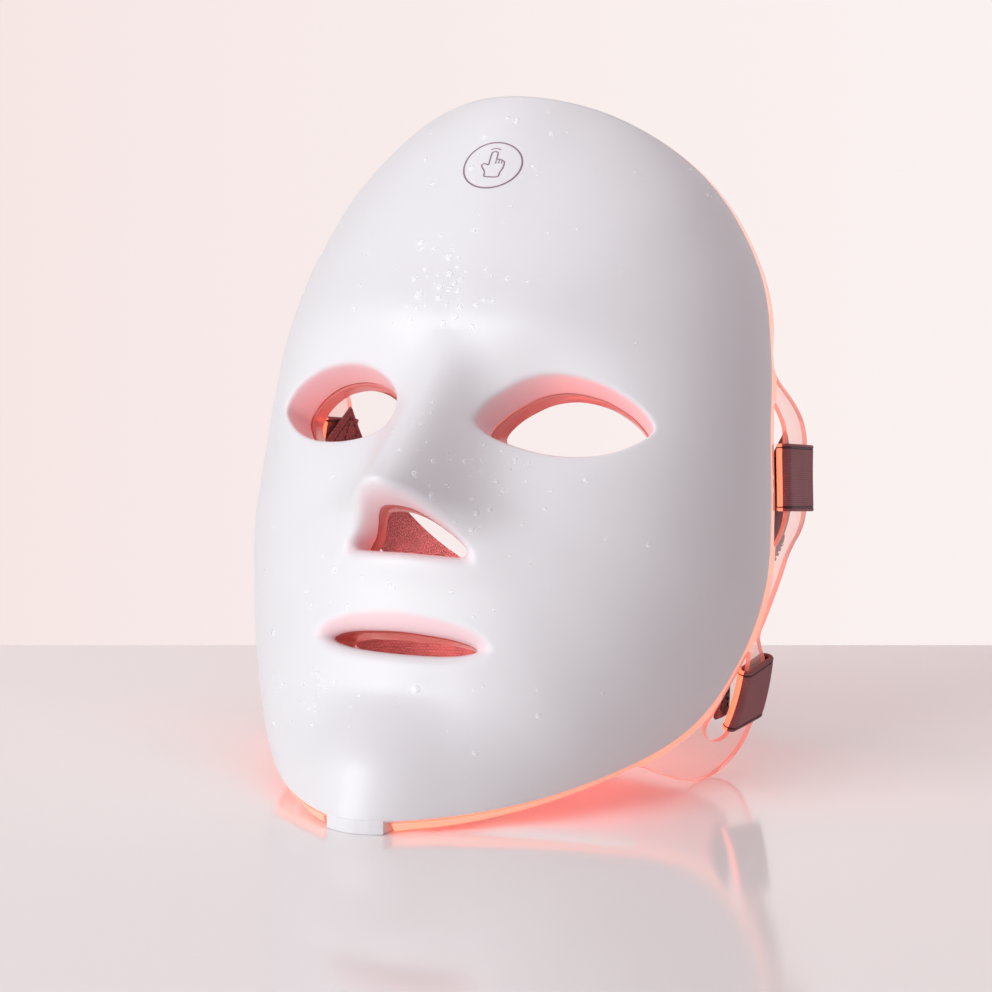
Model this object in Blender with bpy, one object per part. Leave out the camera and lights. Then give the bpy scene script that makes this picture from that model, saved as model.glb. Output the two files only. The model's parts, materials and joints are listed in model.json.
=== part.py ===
"""Light-therapy face mask: a white outer shell over a clear inner liner, with
the lamp boards, battery, controller and charging socket held between them, and
two head straps looped on the liner's four ears.

Resting frame: metres, +Z up, the mask as it rests on a table.  The origin is
the centre of the flat chin foot, the face looks along -Y and leans back, +X is
the wearer's left.

Shapes are drawn in millimetres, in three ways:
  front view      (x, z) seen from the front
  pattern         (x, z) with the dome rolled out flat round its centre
  face frame      x to the wearer's left, y to the back of the head, z up the face
The last is turned into the resting frame at the end.  Depths are measured
inwards from the shell's outer surface.
"""
import math

import bmesh
import bpy
import numpy as np
from mathutils import Vector
from mathutils.geometry import delaunay_2d_cdt

MM = 0.001
TINY = 1e-9
SIDES = {"left": 1, "right": -1}

# ---- resting posture -------------------------------------------------------
LEAN_BACK = math.radians(20.6)   # how far the face leans back on the table
LIFT = 84.35                     # height of the face frame's origin
SET_BACK = 93.0                  # face frame's origin behind the chin foot

# ---- dome form, by direction round the face (degrees: -90 chin, 0 side, 90 top)
DIRECTIONS = [-90, -75, -60, -45, -30, -15, 0, 15, 30, 45, 60, 75, 90]
RADIUS = [109.3, 106.6, 102.3, 96.4, 88.9, 84.2, 81.2, 82.4, 89.4, 99.9, 108.6, 111.6, 110.6]
RIM_DEPTH = [-59.9, -43.8, -21.3, 3.6, 14.7, 15.5, 11.2, 5.8, 2.3, -1.5, -13.0, -27.1, -37.2]
FULLNESS = [3.2, 3.1, 2.9, 2.6, 2.4, 2.25, 2.2, 2.2, 2.25, 2.3, 2.4, 2.4, 2.4]
WRAP = [66, 68, 74, 80, 85, 88, 88, 88, 86, 82, 76, 72, 70]
FLARE = [55, 38, 12, 0, 0, 0, 0, 0, 0, 0, 5, 12, 18]   # outward lean behind the rim
CROWN = 52.6                     # front of the plain dome ahead of the frame
SLOPE = 0.02                     # backward tilt of the dome per mm of height
RIM_MARGIN = 1.0                 # normals are taken at least this far inside the rim

# ---- features over the dome --------------------------------------------------
NOSE_TOP, NOSE_LENGTH, NOSE_HEIGHT = 34, 46, 24
NOSE_HALF, NOSE_SPREAD = 8, 7.5  # half width at the top, widening down the nose
NOSE_RISE, NOSE_ROUND = 1.25, 2.1   # exponents: profile down the ridge, and across it
NOSE_FADE = (-31, -16)           # heights between which the nose dies away
# height, centre |x|, half width, centre z, half height
SWELLS = [
    (-6, 30, 20, 14, 15),        # eye hollows
    (3.5, 16, 30, 38, 13),       # brow
    (5.5, 0, 26, -31, 12),       # below the nose
    (1.0, 0, 26, -56, 12),       # mouth
    (-2.0, 0, 24, -72, 7),       # hollow over the chin
    (6.0, 0, 30, -94, 12),       # chin
    (-2.0, 0, 40, 88, 25),       # top of the forehead
]

# ---- walls and depths ----------------------------------------------------------
SHELL_WALL = 2.0
BOARD_LEVEL = 7.6
BOARD_THICK = 0.8
LINER_LEVEL = 11.6
LINER_EDGE_LEVEL = 2.4
LINER_RAMP = (3, 17)             # distances inside the rim over which it sinks
LINER_WALL = 2.1
EDGE_WALL = 1.4
WALL_RAMP = (3, 10)              # distances inside the rim over which it thickens
EAR_LEVEL = 0.45                 # edge band and ears, behind the rim
EAR_WALL = 1.5
EAR_MID = EAR_LEVEL + EAR_WALL / 2
STEP_AT = 0.6                    # the liner steps out this far behind the rim
STEP_WIDTH = 0.35
BAND = 3.0                       # liner edge that shows behind the shell
FIT_GAP = 0.35

# ---- openings, front view (x, z): an eye, and the x >= 0 half of the others ----
EYE = [
    (12.9, 7.8), (15, 14.6), (20, 19.6), (26, 22.8), (34, 24.2), (43, 23.2), (50, 20.8),
    (56, 17.3), (59.6, 12.8), (57.5, 8.6), (51, 3.8), (43, 1.1), (34, 0.5), (25, 1.6), (17, 3.8)]
NOSE = [
    (0, -18.2), (5.5, -18.7), (9.5, -20.6), (13, -23.6), (16.5, -27.3), (19.4, -31),
    (18.6, -33.8), (12, -34.4), (0, -34.4)]
MOUTH = [
    (0, -50.6), (10, -51.2), (18, -52.4), (24, -54.4), (26.6, -57), (24, -59.5),
    (17, -61.6), (8, -62.5), (0, -62.7)]
# shell flange round an opening, from front to back: (inset from the outline, depth)
FLANGE = {
    "eye": [(0.5, 0.9), (0.9, 2.6), (1.3, 9.4), (-0.4, 9.4), (-1.1, 2.9)],
    "soft": [(0.8, 0.7), (1.7, 2.2), (2.3, 4.4), (2.9, 9.4), (1.3, 9.4), (-0.2, 3.4)],
}
FLANGE_ROOT = 2.6                # outset of the flange's foot on the shell's inner face
# liner collar inside the flange, growth of: outer wall, inner wall, hole at the back
COLLAR = {"eye": (-0.4, -2.4, -2.6), "soft": (-1.3, -3.4, -3.7)}
COLLAR_RISE = 1.7                # collar's height forward of the liner

# ---- liner ears: (height up the face, distance behind the rim) --------------
EAR_EDGE = [
    (42, 3), (39.5, 7), (37.5, 17), (35.6, 24.5), (33, 30), (29.5, 33), (26, 34), (17, 34),
    (8, 33), (3.5, 31), (-1, 27), (-5, 22), (-10, 17), (-15, 13.7), (-22, 10), (-30, 7.6),
    (-35, 7.2), (-38, 12), (-41.5, 19.5), (-50, 28.5), (-58, 36), (-63, 40.3), (-67, 42.6),
    (-71.2, 43), (-74.6, 41.6), (-77.0, 37.5), (-78.6, 30), (-79.4, 20), (-79.9, 10), (-80.3, 3)]
UPPER_SLOT = [
    (31.5, 4), (30, 9.5), (27.6, 13.6), (23.9, 15.2), (13, 15.3), (2.8, 14.9), (-1.2, 13.2),
    (-5.3, 9.6), (-9, 4.6), (-6, 3.9), (10, 3.9), (25, 3.9)]
LOWER_SLOT = [
    (-41, 5.2), (-45, 9.3), (-50, 14.5), (-56, 20), (-61, 24.0), (-65.4, 26.4), (-67.4, 20),
    (-64.5, 9.5), (-55, 4.6), (-46, 3.9), (-42, 3.9)]

# ---- straps ------------------------------------------------------------------
# bar: the part of the ear inside the loop (height, behind the rim, slant)
# reach: how far the slack strap bows out behind; clear: its gap to the loop
STRAPS = {
    "upper": dict(bar=(15.0, 24.7, 0.0), loop_width=21.0, reach=64.0,
                  droop=math.radians(60), clear=1.6),
    "lower": dict(bar=(-51.0, 22.3, -0.95), loop_width=15.0, reach=36.0,
                  droop=math.radians(4), clear=4.8),
}
BAR_HALF = 8                     # half the height over which a bar's direction is taken
STRAP_WIDTH = 20.0
STRAP_THICK = 1.6
STRAP_LEAD = 10.0                # the ends of a strap run this far ahead of the bars
LOOP_WALL = 1.2
LOOP_GAP = 2.3                   # inside height of a loop
LOOP_ROUND = 0.92                # corner radius as a part of half the height
TAPE_THICK = 1.0
TAPE_GAP = 0.3
TAPE_MARGIN = 1.5                # strap showing on each side of the tape
TAPE_SPANS = {"right": (0.16, 0.27), "left": (0.73, 0.84)}   # parts of the strap

# ---- chin foot and charging socket -------------------------------------------
FOOT_W, FOOT_BACK, FOOT_H = 17.6, 6.6, 7.6
CHIN_HEIGHTS = (-109.29, -95)    # stretch of rim, up the face, that shapes the foot
SOCKET_W, SOCKET_H, SOCKET_L, SOCKET_Z = 9.0, 3.3, 7.0, 4.2
SOCKET_WALL = 0.35
SOCKET_FLOOR = 0.5
TONGUE_W, TONGUE_THICK = 6.6, 0.7
POCKET_END_GAP = 0.6
CHARGE_BOARD_W, CHARGE_BOARD_Y = 14.0, (2.2, 7.4)
NOTCH_UP = 17.0
NOTCH_HALF = 10.9                # the liner stops this far each side of the middle
NOTCH_RIM = 109.1                # rim radius beside the foot
NOTCH_ANGLE = -math.acos(NOTCH_HALF / NOTCH_RIM)

# ---- screws and their posts, front view (x, z), repeated at -x -----------------
SCREWS = {"forehead": (30, 84), "temple": (70, 40), "cheek": (61, -33), "jaw": (40, -78)}
BORE_RADIUS = 1.3                # hole in the liner
POST_RADIUS, POST_TOP = 2.9, 1.1   # the post starts this deep in the shell
PILOT_RADIUS, PILOT_TOP = 1.35, 4.4
SHANK_RADIUS, SCREW_TIP = 0.9, 5.2
HEAD_RADIUS, HEAD_THICK = 2.1, 1.1
HEAD_FLAT_RADIUS, HEAD_BEVEL = 1.2, 0.4

# ---- lamp boards, front view (x, z) ----------------------------------------------
FOREHEAD = [
    (0, 74), (16, 73.5), (30, 70), (42, 61), (47, 50), (44, 42.5), (30, 38), (12, 36.5),
    (0, 36.5)]
CHEEK = [
    (26, -9), (36, -6.5), (48, -5.5), (60, -6.5), (63, -14), (58, -24), (53, -35), (48, -46),
    (40, -46.5), (32, -43), (27.5, -35), (25.5, -22)]
CHIN = [(0, -70), (14, -70), (25, -71), (29, -78), (27, -88), (18, -95), (0, -97)]
LED = 3.0
LED_PITCH = 13.0
LED_MARGIN = 3.6                 # lamp centres keep this far inside the outline
LED_PROUD = 1.4                  # behind the board
LED_SUNK = 0.35                  # into the board
FLEX_WIDTH = 5.0
FLEX_DEPTHS = (BOARD_LEVEL + 0.2, BOARD_LEVEL + 0.5)
# centre line, points along it
FLEXES = {
    "flex_brow": ([(48.6, 46), (56, 37), (64, 27), (67.5, 15), (66, 4), (62, -4.6)], 12),
    "flex_jaw": ([(43.5, -49), (39.5, -57), (34, -65), (28.5, -72)], 8),
}

# ---- touch key, controller, battery ------------------------------------------------
KEY_CENTRE, KEY_RADII = (0.0, 86.6), (7.4, 7.0)
KEY_DEPTHS = (2.55, 2.9)
CONTROL_CENTRE, CONTROL_SIZE, CONTROL_LEVEL = (0, 58), (30, 16), 4.0
# x, z from the board's centre, width, height, how far it stands off the board
CHIPS = [
    (-8, 1, 6, 6, 1.0), (3, 3, 4, 3, 0.9), (10, -3, 3.2, 5, 1.5), (2, -4.5, 5, 2, 0.8),
    (-11, -5.5, 3, 2, 1.2)]
CHIP_SUNK = 0.3
CELL_CENTRE, CELL_SIZE, CELL_DEPTHS = (44, -25), (26, 22), (4.35, 7.05)
CELL_BEVEL = 0.6
PAD_SIZE, PAD_DEPTHS = (22, 18), (3.6, 4.05)

# ---- mesh spacing ----------------------------------------------------------------
FINE_BOX = (-38, -78, 38, 46)    # pattern x0, z0, x1, z1 where the points lie closer
GRID_REACH = 190
BOARD_GRID_PITCH = 9.0


# ---- surface of the mask ------------------------------------------------------------
def unit(vectors):
    return vectors / np.linalg.norm(vectors, axis=-1, keepdims=True)


def by_direction(table, angle):
    """Smooth cubic through a table given at DIRECTIONS."""
    knots = np.array(DIRECTIONS, float)
    values = np.array(table, float)
    slopes = np.zeros_like(values)
    slopes[1:-1] = (values[2:] - values[:-2]) / (knots[2:] - knots[:-2])
    i = np.clip(np.searchsorted(knots, angle) - 1, 0, len(knots) - 2)
    gap = knots[i + 1] - knots[i]
    part = (angle - knots[i]) / gap
    return ((2 * part**3 - 3 * part**2 + 1) * values[i]
            + (part**3 - 2 * part**2 + part) * gap * slopes[i]
            + (-2 * part**3 + 3 * part**2) * values[i + 1]
            + (part**3 - part**2) * gap * slopes[i + 1])


def ease(start, end, x):
    part = np.clip((x - start) / (end - start), 0, 1)
    return part * part * (3 - 2 * part)


def direction(flat):
    return np.degrees(np.arctan2(flat[:, 1], np.abs(flat[:, 0])))


def rim_radius(flat):
    """Radius of the rim in the pattern, in the direction of each point."""
    angle = direction(flat)
    wrap = np.radians(by_direction(WRAP, angle))
    return by_direction(RADIUS, angle) * wrap / np.sin(wrap)


def behind(flat):
    """Distance of a pattern point behind the rim; negative on the face."""
    return np.hypot(flat[:, 0], flat[:, 1]) - rim_radius(flat)


def relief(x, z):
    """Height of the features over the plain dome."""
    side = np.abs(x)
    down = np.clip((NOSE_TOP - z) / NOSE_LENGTH, 0, 1.3)
    half = NOSE_HALF + NOSE_SPREAD * np.clip(down, 0, 1.2)
    ridge = NOSE_HEIGHT * down ** NOSE_RISE * np.exp(-(side / half) ** NOSE_ROUND)
    total = ridge * ease(*NOSE_FADE, z)
    for height, x_mid, x_half, z_mid, z_half in SWELLS:
        total = total + height * np.exp(-((side - x_mid) / x_half) ** 2
                                        - ((z - z_mid) / z_half) ** 2)
    return total


def bulge(sine, fullness):
    return 1 - (1 - sine ** fullness) ** (1 / fullness)


def dome(flat):
    """Plain dome, without the features, at pattern points."""
    flat = np.asarray(flat, float)
    angle = direction(flat)
    radius = by_direction(RADIUS, angle)
    rim_depth = by_direction(RIM_DEPTH, angle)
    fullness = by_direction(FULLNESS, angle)
    wrap = np.radians(by_direction(WRAP, angle))
    lean = np.radians(by_direction(FLARE, angle))
    distance = np.hypot(flat[:, 0], flat[:, 1])
    safe = np.maximum(distance, TINY)
    edge = rim_radius(flat)
    sine = np.sin(np.minimum(distance, edge) * np.sin(wrap) / radius)
    scale = np.where(distance > TINY, radius * sine / np.sin(wrap) / safe, 1.0)
    x, z = flat[:, 0] * scale, flat[:, 1] * scale
    rise = bulge(np.clip(sine, 0, 1), fullness) / bulge(np.sin(wrap), fullness)
    past = np.maximum(distance - edge, 0)
    y = -CROWN + (CROWN + rim_depth) * rise + SLOPE * z + past * np.cos(lean)
    outwards = past * np.sin(lean) / safe
    return np.stack([x + flat[:, 0] * outwards, y, z + flat[:, 1] * outwards], -1)


def normal_of(surface, flat, step):
    """Outward normal of a surface; points near or behind the rim use one inside it."""
    flat = np.asarray(flat, float)
    distance = np.maximum(np.hypot(flat[:, 0], flat[:, 1]), TINY)
    flat = flat * np.minimum(1, (rim_radius(flat) - RIM_MARGIN) / distance)[:, None]
    across = surface(flat + [step, 0]) - surface(flat - [step, 0])
    upward = surface(flat + [0, step]) - surface(flat - [0, step])
    return unit(np.cross(across, upward))


def level(flat, depth):
    """Face-frame points at a depth (one value, or one per point)."""
    points = dome(flat) - normal_of(dome, flat, 0.4) * np.reshape(depth, (-1, 1))
    points[:, 1] -= relief(points[:, 0], points[:, 2])
    return points


def level_normal(flat, depth):
    return normal_of(lambda spots: level(spots, depth), flat, 0.5)


def pattern(front):
    """Pattern points of front-view points on the dome."""
    front = np.asarray(front, float)
    angle = direction(front)
    radius = by_direction(RADIUS, angle)
    wrap = np.radians(by_direction(WRAP, angle))
    distance = np.hypot(front[:, 0], front[:, 1])
    arc = np.arcsin(np.clip(distance / radius * np.sin(wrap), 0, np.sin(wrap)))
    unrolled = radius * arc / np.sin(wrap) / np.maximum(distance, TINY)
    return front * np.where(distance > TINY, unrolled, 1.0)[:, None]


def rest(points):
    """Face frame to resting frame, still in millimetres."""
    points = np.asarray(points, float)
    x, y, z = points[..., 0], points[..., 1], points[..., 2]
    cos, sin = math.cos(LEAN_BACK), math.sin(LEAN_BACK)
    return np.stack([x, y * cos + z * sin + SET_BACK, -y * sin + z * cos + LIFT], -1)


# ---- curves ---------------------------------------------------------------------
def smooth_curve(points, count, closed=True):
    """Catmull-Rom curve through points, resampled evenly."""
    points = np.array(points, float)
    total = len(points)
    curve = []
    for i in range(total if closed else total - 1):
        if closed:
            picks = (i - 1, i, (i + 1) % total, (i + 2) % total)
        else:
            picks = (max(i - 1, 0), i, i + 1, min(i + 2, total - 1))
        before, start, end, after = points[list(picks)]
        for part in np.linspace(0, 1, 12, endpoint=False):
            curve.append(0.5 * (2 * start + (end - before) * part
                                + (2 * before - 5 * start + 4 * end - after) * part * part
                                + (3 * start - before - 3 * end + after) * part**3))
    curve.append(points[0] if closed else points[-1])
    curve = np.array(curve)
    lengths = np.linalg.norm(np.diff(curve, axis=0), axis=1)
    run = np.concatenate([[0], np.cumsum(lengths)])
    stops = np.linspace(0, run[-1], count, endpoint=not closed)
    return np.stack([np.interp(stops, run, curve[:, 0]), np.interp(stops, run, curve[:, 1])], -1)


def both_sides(half):
    """Close a half outline, drawn from top to bottom at x >= 0, over x < 0."""
    return list(half) + [(-x, z) for x, z in reversed(half) if x > 1e-6]


def grow(loop, amount):
    """Widen a closed loop by the same amount on each side of its middle."""
    low, high = loop.min(0), loop.max(0)
    middle, half = (low + high) / 2, (high - low) / 2
    return middle + (loop - middle) * (half + amount) / half


def mirrored(loop):
    return loop[::-1] * [-1, 1]


def ring_of(angles):
    return np.stack([np.cos(angles), np.sin(angles)], -1)


def rim_angle(z):
    """Angle on the wearer's left side at which the rim has height z."""
    angles = np.linspace(-math.pi / 2, math.pi / 2, 721)
    heights = np.sin(angles) * by_direction(RADIUS, direction(ring_of(angles)))
    return np.interp(z, heights, angles)


def at_angle(angles, distances):
    """Pattern points at angles round the face and distances behind the rim."""
    angles, distances = np.broadcast_arrays(angles, distances)
    ring = ring_of(angles)
    return ring * (rim_radius(ring) + distances)[:, None]


def past_rim(stations):
    """Pattern points at (height on the rim, distance behind the rim)."""
    stations = np.asarray(stations, float)
    return at_angle(rim_angle(stations[:, 0]), stations[:, 1])


# ---- triangulated sheets -----------------------------------------------------------
def inside(loop, points):
    hit = np.zeros(len(points), bool)
    x0, z0 = loop[-1]
    for x1, z1 in loop:
        crosses = (z1 > points[:, 1]) != (z0 > points[:, 1])
        drop = z0 - z1
        if abs(drop) < 1e-12:
            drop = 1e-12
        hit ^= crosses & (points[:, 0] < (x0 - x1) * (points[:, 1] - z1) / drop + x1)
        x0, z0 = x1, z1
    return hit


def triangle_grid(pitch):
    rows = np.arange(-GRID_REACH, GRID_REACH, pitch * 0.866)
    return np.array([(x + (pitch / 2 if i % 2 else 0), z) for i, z in enumerate(rows)
                     for x in np.arange(-GRID_REACH, GRID_REACH, pitch)])


def graded_grid(coarse_pitch, fine_pitch):
    """Triangular grid, closer together inside FINE_BOX."""
    x0, z0, x1, z1 = FINE_BOX

    def in_box(points):
        x, z = points[:, 0], points[:, 1]
        return (x > x0) & (x < x1) & (z > z0) & (z < z1)
    coarse, fine = triangle_grid(coarse_pitch), triangle_grid(fine_pitch)
    return np.concatenate([coarse[~in_box(coarse)], fine[in_box(fine)]])


def in_sheet(outer, holes, points):
    keep = inside(outer, points)
    for hole in holes:
        keep &= ~inside(hole, points)
    return keep


def triangulate(outer, holes, grid, ridges=(), clear=2.6):
    """Triangles between an outer loop and its holes, with edges along open ridges.

    Grid points nearer than clear to a loop are left out.  Returns the pattern
    points, the triangles and the point numbers of the outer loop and the holes.
    """
    closed = [outer] + list(holes)
    points = np.concatenate(closed + list(ridges))
    grid = grid[in_sheet(outer, holes, grid)]
    near = np.min(np.linalg.norm(grid[:, None, :] - points[None, :, :], axis=2), axis=1)
    points = np.concatenate([points, grid[near > clear]])
    edges, start, spans = [], 0, []
    for loop in closed:
        count = len(loop)
        edges += [(start + i, start + (i + 1) % count) for i in range(count)]
        spans.append(list(range(start, start + count)))
        start += count
    for ridge in ridges:
        edges += [(start + i, start + i + 1) for i in range(len(ridge) - 1)]
        start += len(ridge)
    result = delaunay_2d_cdt([Vector(point) for point in points], edges, [], 0, 1e-6)
    source = [min(origins) for origins in result[3]]
    triangles = np.array([[source[i] for i in face] for face in result[2]])
    return points, triangles[in_sheet(outer, holes, points[triangles].mean(1))], spans


# ---- solids -------------------------------------------------------------------------
class Body:
    """Collects points (mm) and faces of closed solids."""

    def __init__(self):
        self.points, self.faces = [], []

    def add(self, points):
        start = len(self.points)
        self.points += [tuple(point) for point in points]
        return list(range(start, start + len(points)))

    def ribbon(self, first, second):
        count = len(first)
        for i in range(count):
            j = (i + 1) % count
            self.faces.append((first[i], first[j], second[j], second[i]))

    def loft(self, rings):
        """Solid through rings of points, capped at both ends."""
        rings = [self.add(ring) for ring in rings]
        for first, second in zip(rings[:-1], rings[1:]):
            self.ribbon(first, second)
        self.faces += [tuple(rings[0][::-1]), tuple(rings[-1])]

    def build(self, name, mat, resting=False):
        """Make the object; resting says the points are already in that frame."""
        points = np.array(self.points)
        points = (points if resting else rest(points)) * MM
        mesh = bpy.data.meshes.new(name)
        bm = bmesh.new()
        verts = [bm.verts.new(point) for point in points]
        for face in self.faces:
            bm.faces.new([verts[i] for i in face])
        loose = [vert for vert in bm.verts if not vert.link_faces]
        if loose:                # ridge ends doubled on the outline
            bmesh.ops.delete(bm, geom=loose, context="VERTS")
        bmesh.ops.recalc_face_normals(bm, faces=bm.faces)
        bm.to_mesh(mesh)
        bm.free()
        mesh.materials.append(mat)
        mesh.shade_smooth()
        mesh.set_sharp_from_angle(angle=math.radians(35))
        piece = bpy.data.objects.new(name, mesh)
        bpy.context.scene.collection.objects.link(piece)
        return piece


def sheet_body(top, bottom, rings):
    """Closed solid from two triangulated sheets and the walls between loops.

    top and bottom are (points, triangles, spans); rings holds, for each loop,
    the point rings that lie between the top loop and the bottom loop.
    """
    body = Body()
    above = np.array(body.add(top[0]))
    below = np.array(body.add(bottom[0]))
    body.faces += [tuple(above[face]) for face in top[1]]
    body.faces += [tuple(below[face][::-1]) for face in bottom[1]]
    for upper_span, lower_span, between in zip(top[2], bottom[2], rings):
        chain = [list(above[upper_span])]
        chain += [body.add(ring) for ring in between]
        chain += [list(below[lower_span])]
        for first, second in zip(chain[:-1], chain[1:]):
            body.ribbon(first, second)
    return body


def slab(name, mat, outer, grid, depths, clear=2.6):
    """Thin body between two depths, with plain edges."""
    flat, faces, spans = triangulate(outer, [], grid, clear=clear)
    top, bottom = [(level(flat, depth), faces, spans) for depth in depths]
    return sheet_body(top, bottom, [[]]).build(name, mat)


def combine(piece, tool, operation):
    tool.hide_render = True
    tool.display_type = "WIRE"
    mod = piece.modifiers.new(operation.lower(), "BOOLEAN")
    mod.operation = operation
    mod.solver = "EXACT"
    mod.object = tool


# Local frames are (origin, across, up, out): across runs to the wearer's left,
# out away from the face.
RESTING_FRAME = (np.zeros(3), np.array([1.0, 0, 0]), np.array([0, 1.0, 0]), np.array([0, 0, 1.0]))


def local_frame(origin, out):
    upward = unit(np.array([0, 0, 1.0]) - out * out[2])
    return origin, np.cross(upward, out), upward, out


def seat(x, z, depth):
    """Frame on the surface at a front-view point, square to the surface."""
    flat = pattern([(x, z)])
    return local_frame(level(flat, depth)[0], level_normal(flat, depth)[0])


def through(x, z):
    """Frame whose axis runs from the outer surface straight to the liner's back."""
    flat = pattern([(x, z)])
    origin = level(flat, 0.0)[0]
    return local_frame(origin, unit(origin - level(flat, LINER_LEVEL + LINER_WALL)[0]))


def box(body, frame, low, high):
    """Box in a local frame: corners as (across, up, out)."""
    origin, across, upward, out = frame
    corners = ((low[0], low[1]), (high[0], low[1]), (high[0], high[1]), (low[0], high[1]))
    body.loft([[origin + across * x + upward * y + out * z for x, y in corners]
               for z in (low[2], high[2])])


def centred_box(body, frame, size, depths):
    """Box centred on a local frame's axis, between two depths below its origin."""
    half_w, half_h = size[0] / 2, size[1] / 2
    box(body, frame, (-half_w, -half_h, -depths[1]), (half_w, half_h, -depths[0]))


def turned(body, frame, profile, sides):
    """Turn a (radius, out) profile, starting and ending on the axis, round out."""
    origin, across, upward, out = frame
    angles = np.linspace(0, 2 * math.pi, sides, endpoint=False)
    rings = []
    for radius, height in profile:
        if radius < 1e-6:
            rings.append(body.add([origin + out * height]))
        else:
            rings.append(body.add([
                origin + (across * math.cos(angle) + upward * math.sin(angle)) * radius
                + out * height for angle in angles]))
    for first, second in zip(rings[:-1], rings[1:]):
        if len(first) == 1:
            body.faces += [(first[0], second[i], second[(i + 1) % sides]) for i in range(sides)]
        elif len(second) == 1:
            body.faces += [(first[i], second[0], first[(i + 1) % sides]) for i in range(sides)]
        else:
            body.ribbon(first, second)


def tube(body, path, radius, sides=6):
    """Round wire along a path."""
    angles = np.linspace(0, 2 * math.pi, sides, endpoint=False)
    normal = np.array([0.3, -0.8, 0.52])   # carried along the path to avoid twist
    rings = []
    for point, ahead in zip(path, unit(np.gradient(path, axis=0))):
        normal = unit(normal - ahead * (normal @ ahead))
        other = np.cross(ahead, normal)
        rings.append([point + (normal * math.cos(angle) + other * math.sin(angle)) * radius
                      for angle in angles])
    body.loft(rings)


# ---- start from an empty scene ------------------------------------------------
for old in list(bpy.data.objects):
    bpy.data.objects.remove(old, do_unlink=True)


# ---- materials ------------------------------------------------------------------
def material(name, colour, roughness, metallic=0.0, alpha=1.0):
    mat = bpy.data.materials.new(name)
    mat.use_nodes = True
    inputs = mat.node_tree.nodes["Principled BSDF"].inputs
    inputs["Base Color"].default_value = (*colour, 1)
    inputs["Roughness"].default_value = roughness
    inputs["Metallic"].default_value = metallic
    inputs["Alpha"].default_value = alpha
    mat.diffuse_color = (*colour, 1)
    return mat


WHITE = material("shell_white", colour=(0.86, 0.85, 0.86), roughness=0.16)
CLEAR = material("liner_clear", colour=(0.95, 0.55, 0.48), roughness=0.08, alpha=0.35)
BOARD = material("board_white", colour=(0.82, 0.74, 0.72), roughness=0.45)
GREEN = material("board_green", colour=(0.05, 0.22, 0.12), roughness=0.45)
COPPER = material("copper", colour=(0.72, 0.38, 0.24), roughness=0.3, metallic=1.0)
STEEL = material("steel", colour=(0.35, 0.33, 0.34), roughness=0.3, metallic=1.0)
DARK = material("dark_plastic", colour=(0.03, 0.03, 0.035), roughness=0.4)
FOIL = material("cell_foil", colour=(0.6, 0.6, 0.62), roughness=0.35, metallic=1.0)
FOAM = material("foam", colour=(0.06, 0.06, 0.07), roughness=0.9)
WIRE = material("wire_red", colour=(0.55, 0.05, 0.04), roughness=0.45)
AMBER = material("ribbon_amber", colour=(0.55, 0.22, 0.05), roughness=0.4)
STRAP = material("strap_woven", colour=(0.20, 0.09, 0.10), roughness=0.85)
HOOK = material("hook_tape", colour=(0.10, 0.05, 0.055), roughness=0.9)

# leads: material, radius, rings along it, front-view path, depths spread evenly along it
LEADS = {
    "battery_lead": (
        WIRE, 0.7, 24,
        [(58.5, -22), (66, -10), (70.5, 6), (71, 22), (62, 36), (44, 47), (28, 53), (17.2, 56)],
        [5.4, 4.6, 4.2, 4.2, 4.4, 4.6, 4.8, 5.0]),
    "touch_lead": (
        COPPER, 0.4, 9,
        [(0, 78.4), (0.6, 74), (1, 70.5), (1, 67.2)],
        [3.8, 4.2, 4.5, 4.6]),
    "charge_lead": (
        WIRE, 0.7, 36,
        [(-11, -99), (-22, -94), (-31, -84), (-34.5, -72), (-40, -58), (-46, -44), (-54, -31),
         (-65, -18), (-71, 0), (-71, 19), (-62, 34), (-50, 47), (-34, 54), (-17.2, 57)],
        [4.8, 4.6, 4.4, 4.2, 4.2, 4.2, 4.2, 4.2, 4.4, 4.6, 4.8]),
}

eye_loop = smooth_curve(EYE, 30)
OPENINGS = [                     # front-view loop, kind of edge
    (eye_loop, "eye"),
    (mirrored(eye_loop), "eye"),
    (smooth_curve(both_sides(NOSE), 28), "soft"),
    (smooth_curve(both_sides(MOUTH), 28), "soft"),
]


# ---- front shell ------------------------------------------------------------------
def build_shell():
    grid = graded_grid(14.5, 8.4)
    count = 72
    rim = at_angle(np.linspace(-math.pi, math.pi, count, endpoint=False) + math.pi / count, 0.0)
    flat, faces, spans = triangulate(rim, [pattern(loop) for loop, _ in OPENINGS], grid)
    top = (level(flat, 0.0), faces, spans)
    rings = [[]]
    for loop, kind in OPENINGS:
        rings.append([level(pattern(grow(loop, -inset)), depth) for inset, depth in FLANGE[kind]])
    roots = [pattern(grow(loop, FLANGE_ROOT)) for loop, _ in OPENINGS]
    flat, faces, spans = triangulate(rim, roots, grid)
    back = level(flat, 0.0) - level_normal(flat, 0.0) * SHELL_WALL
    return sheet_body(top, (back, faces, spans), rings).build("front_shell", WHITE)


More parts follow.
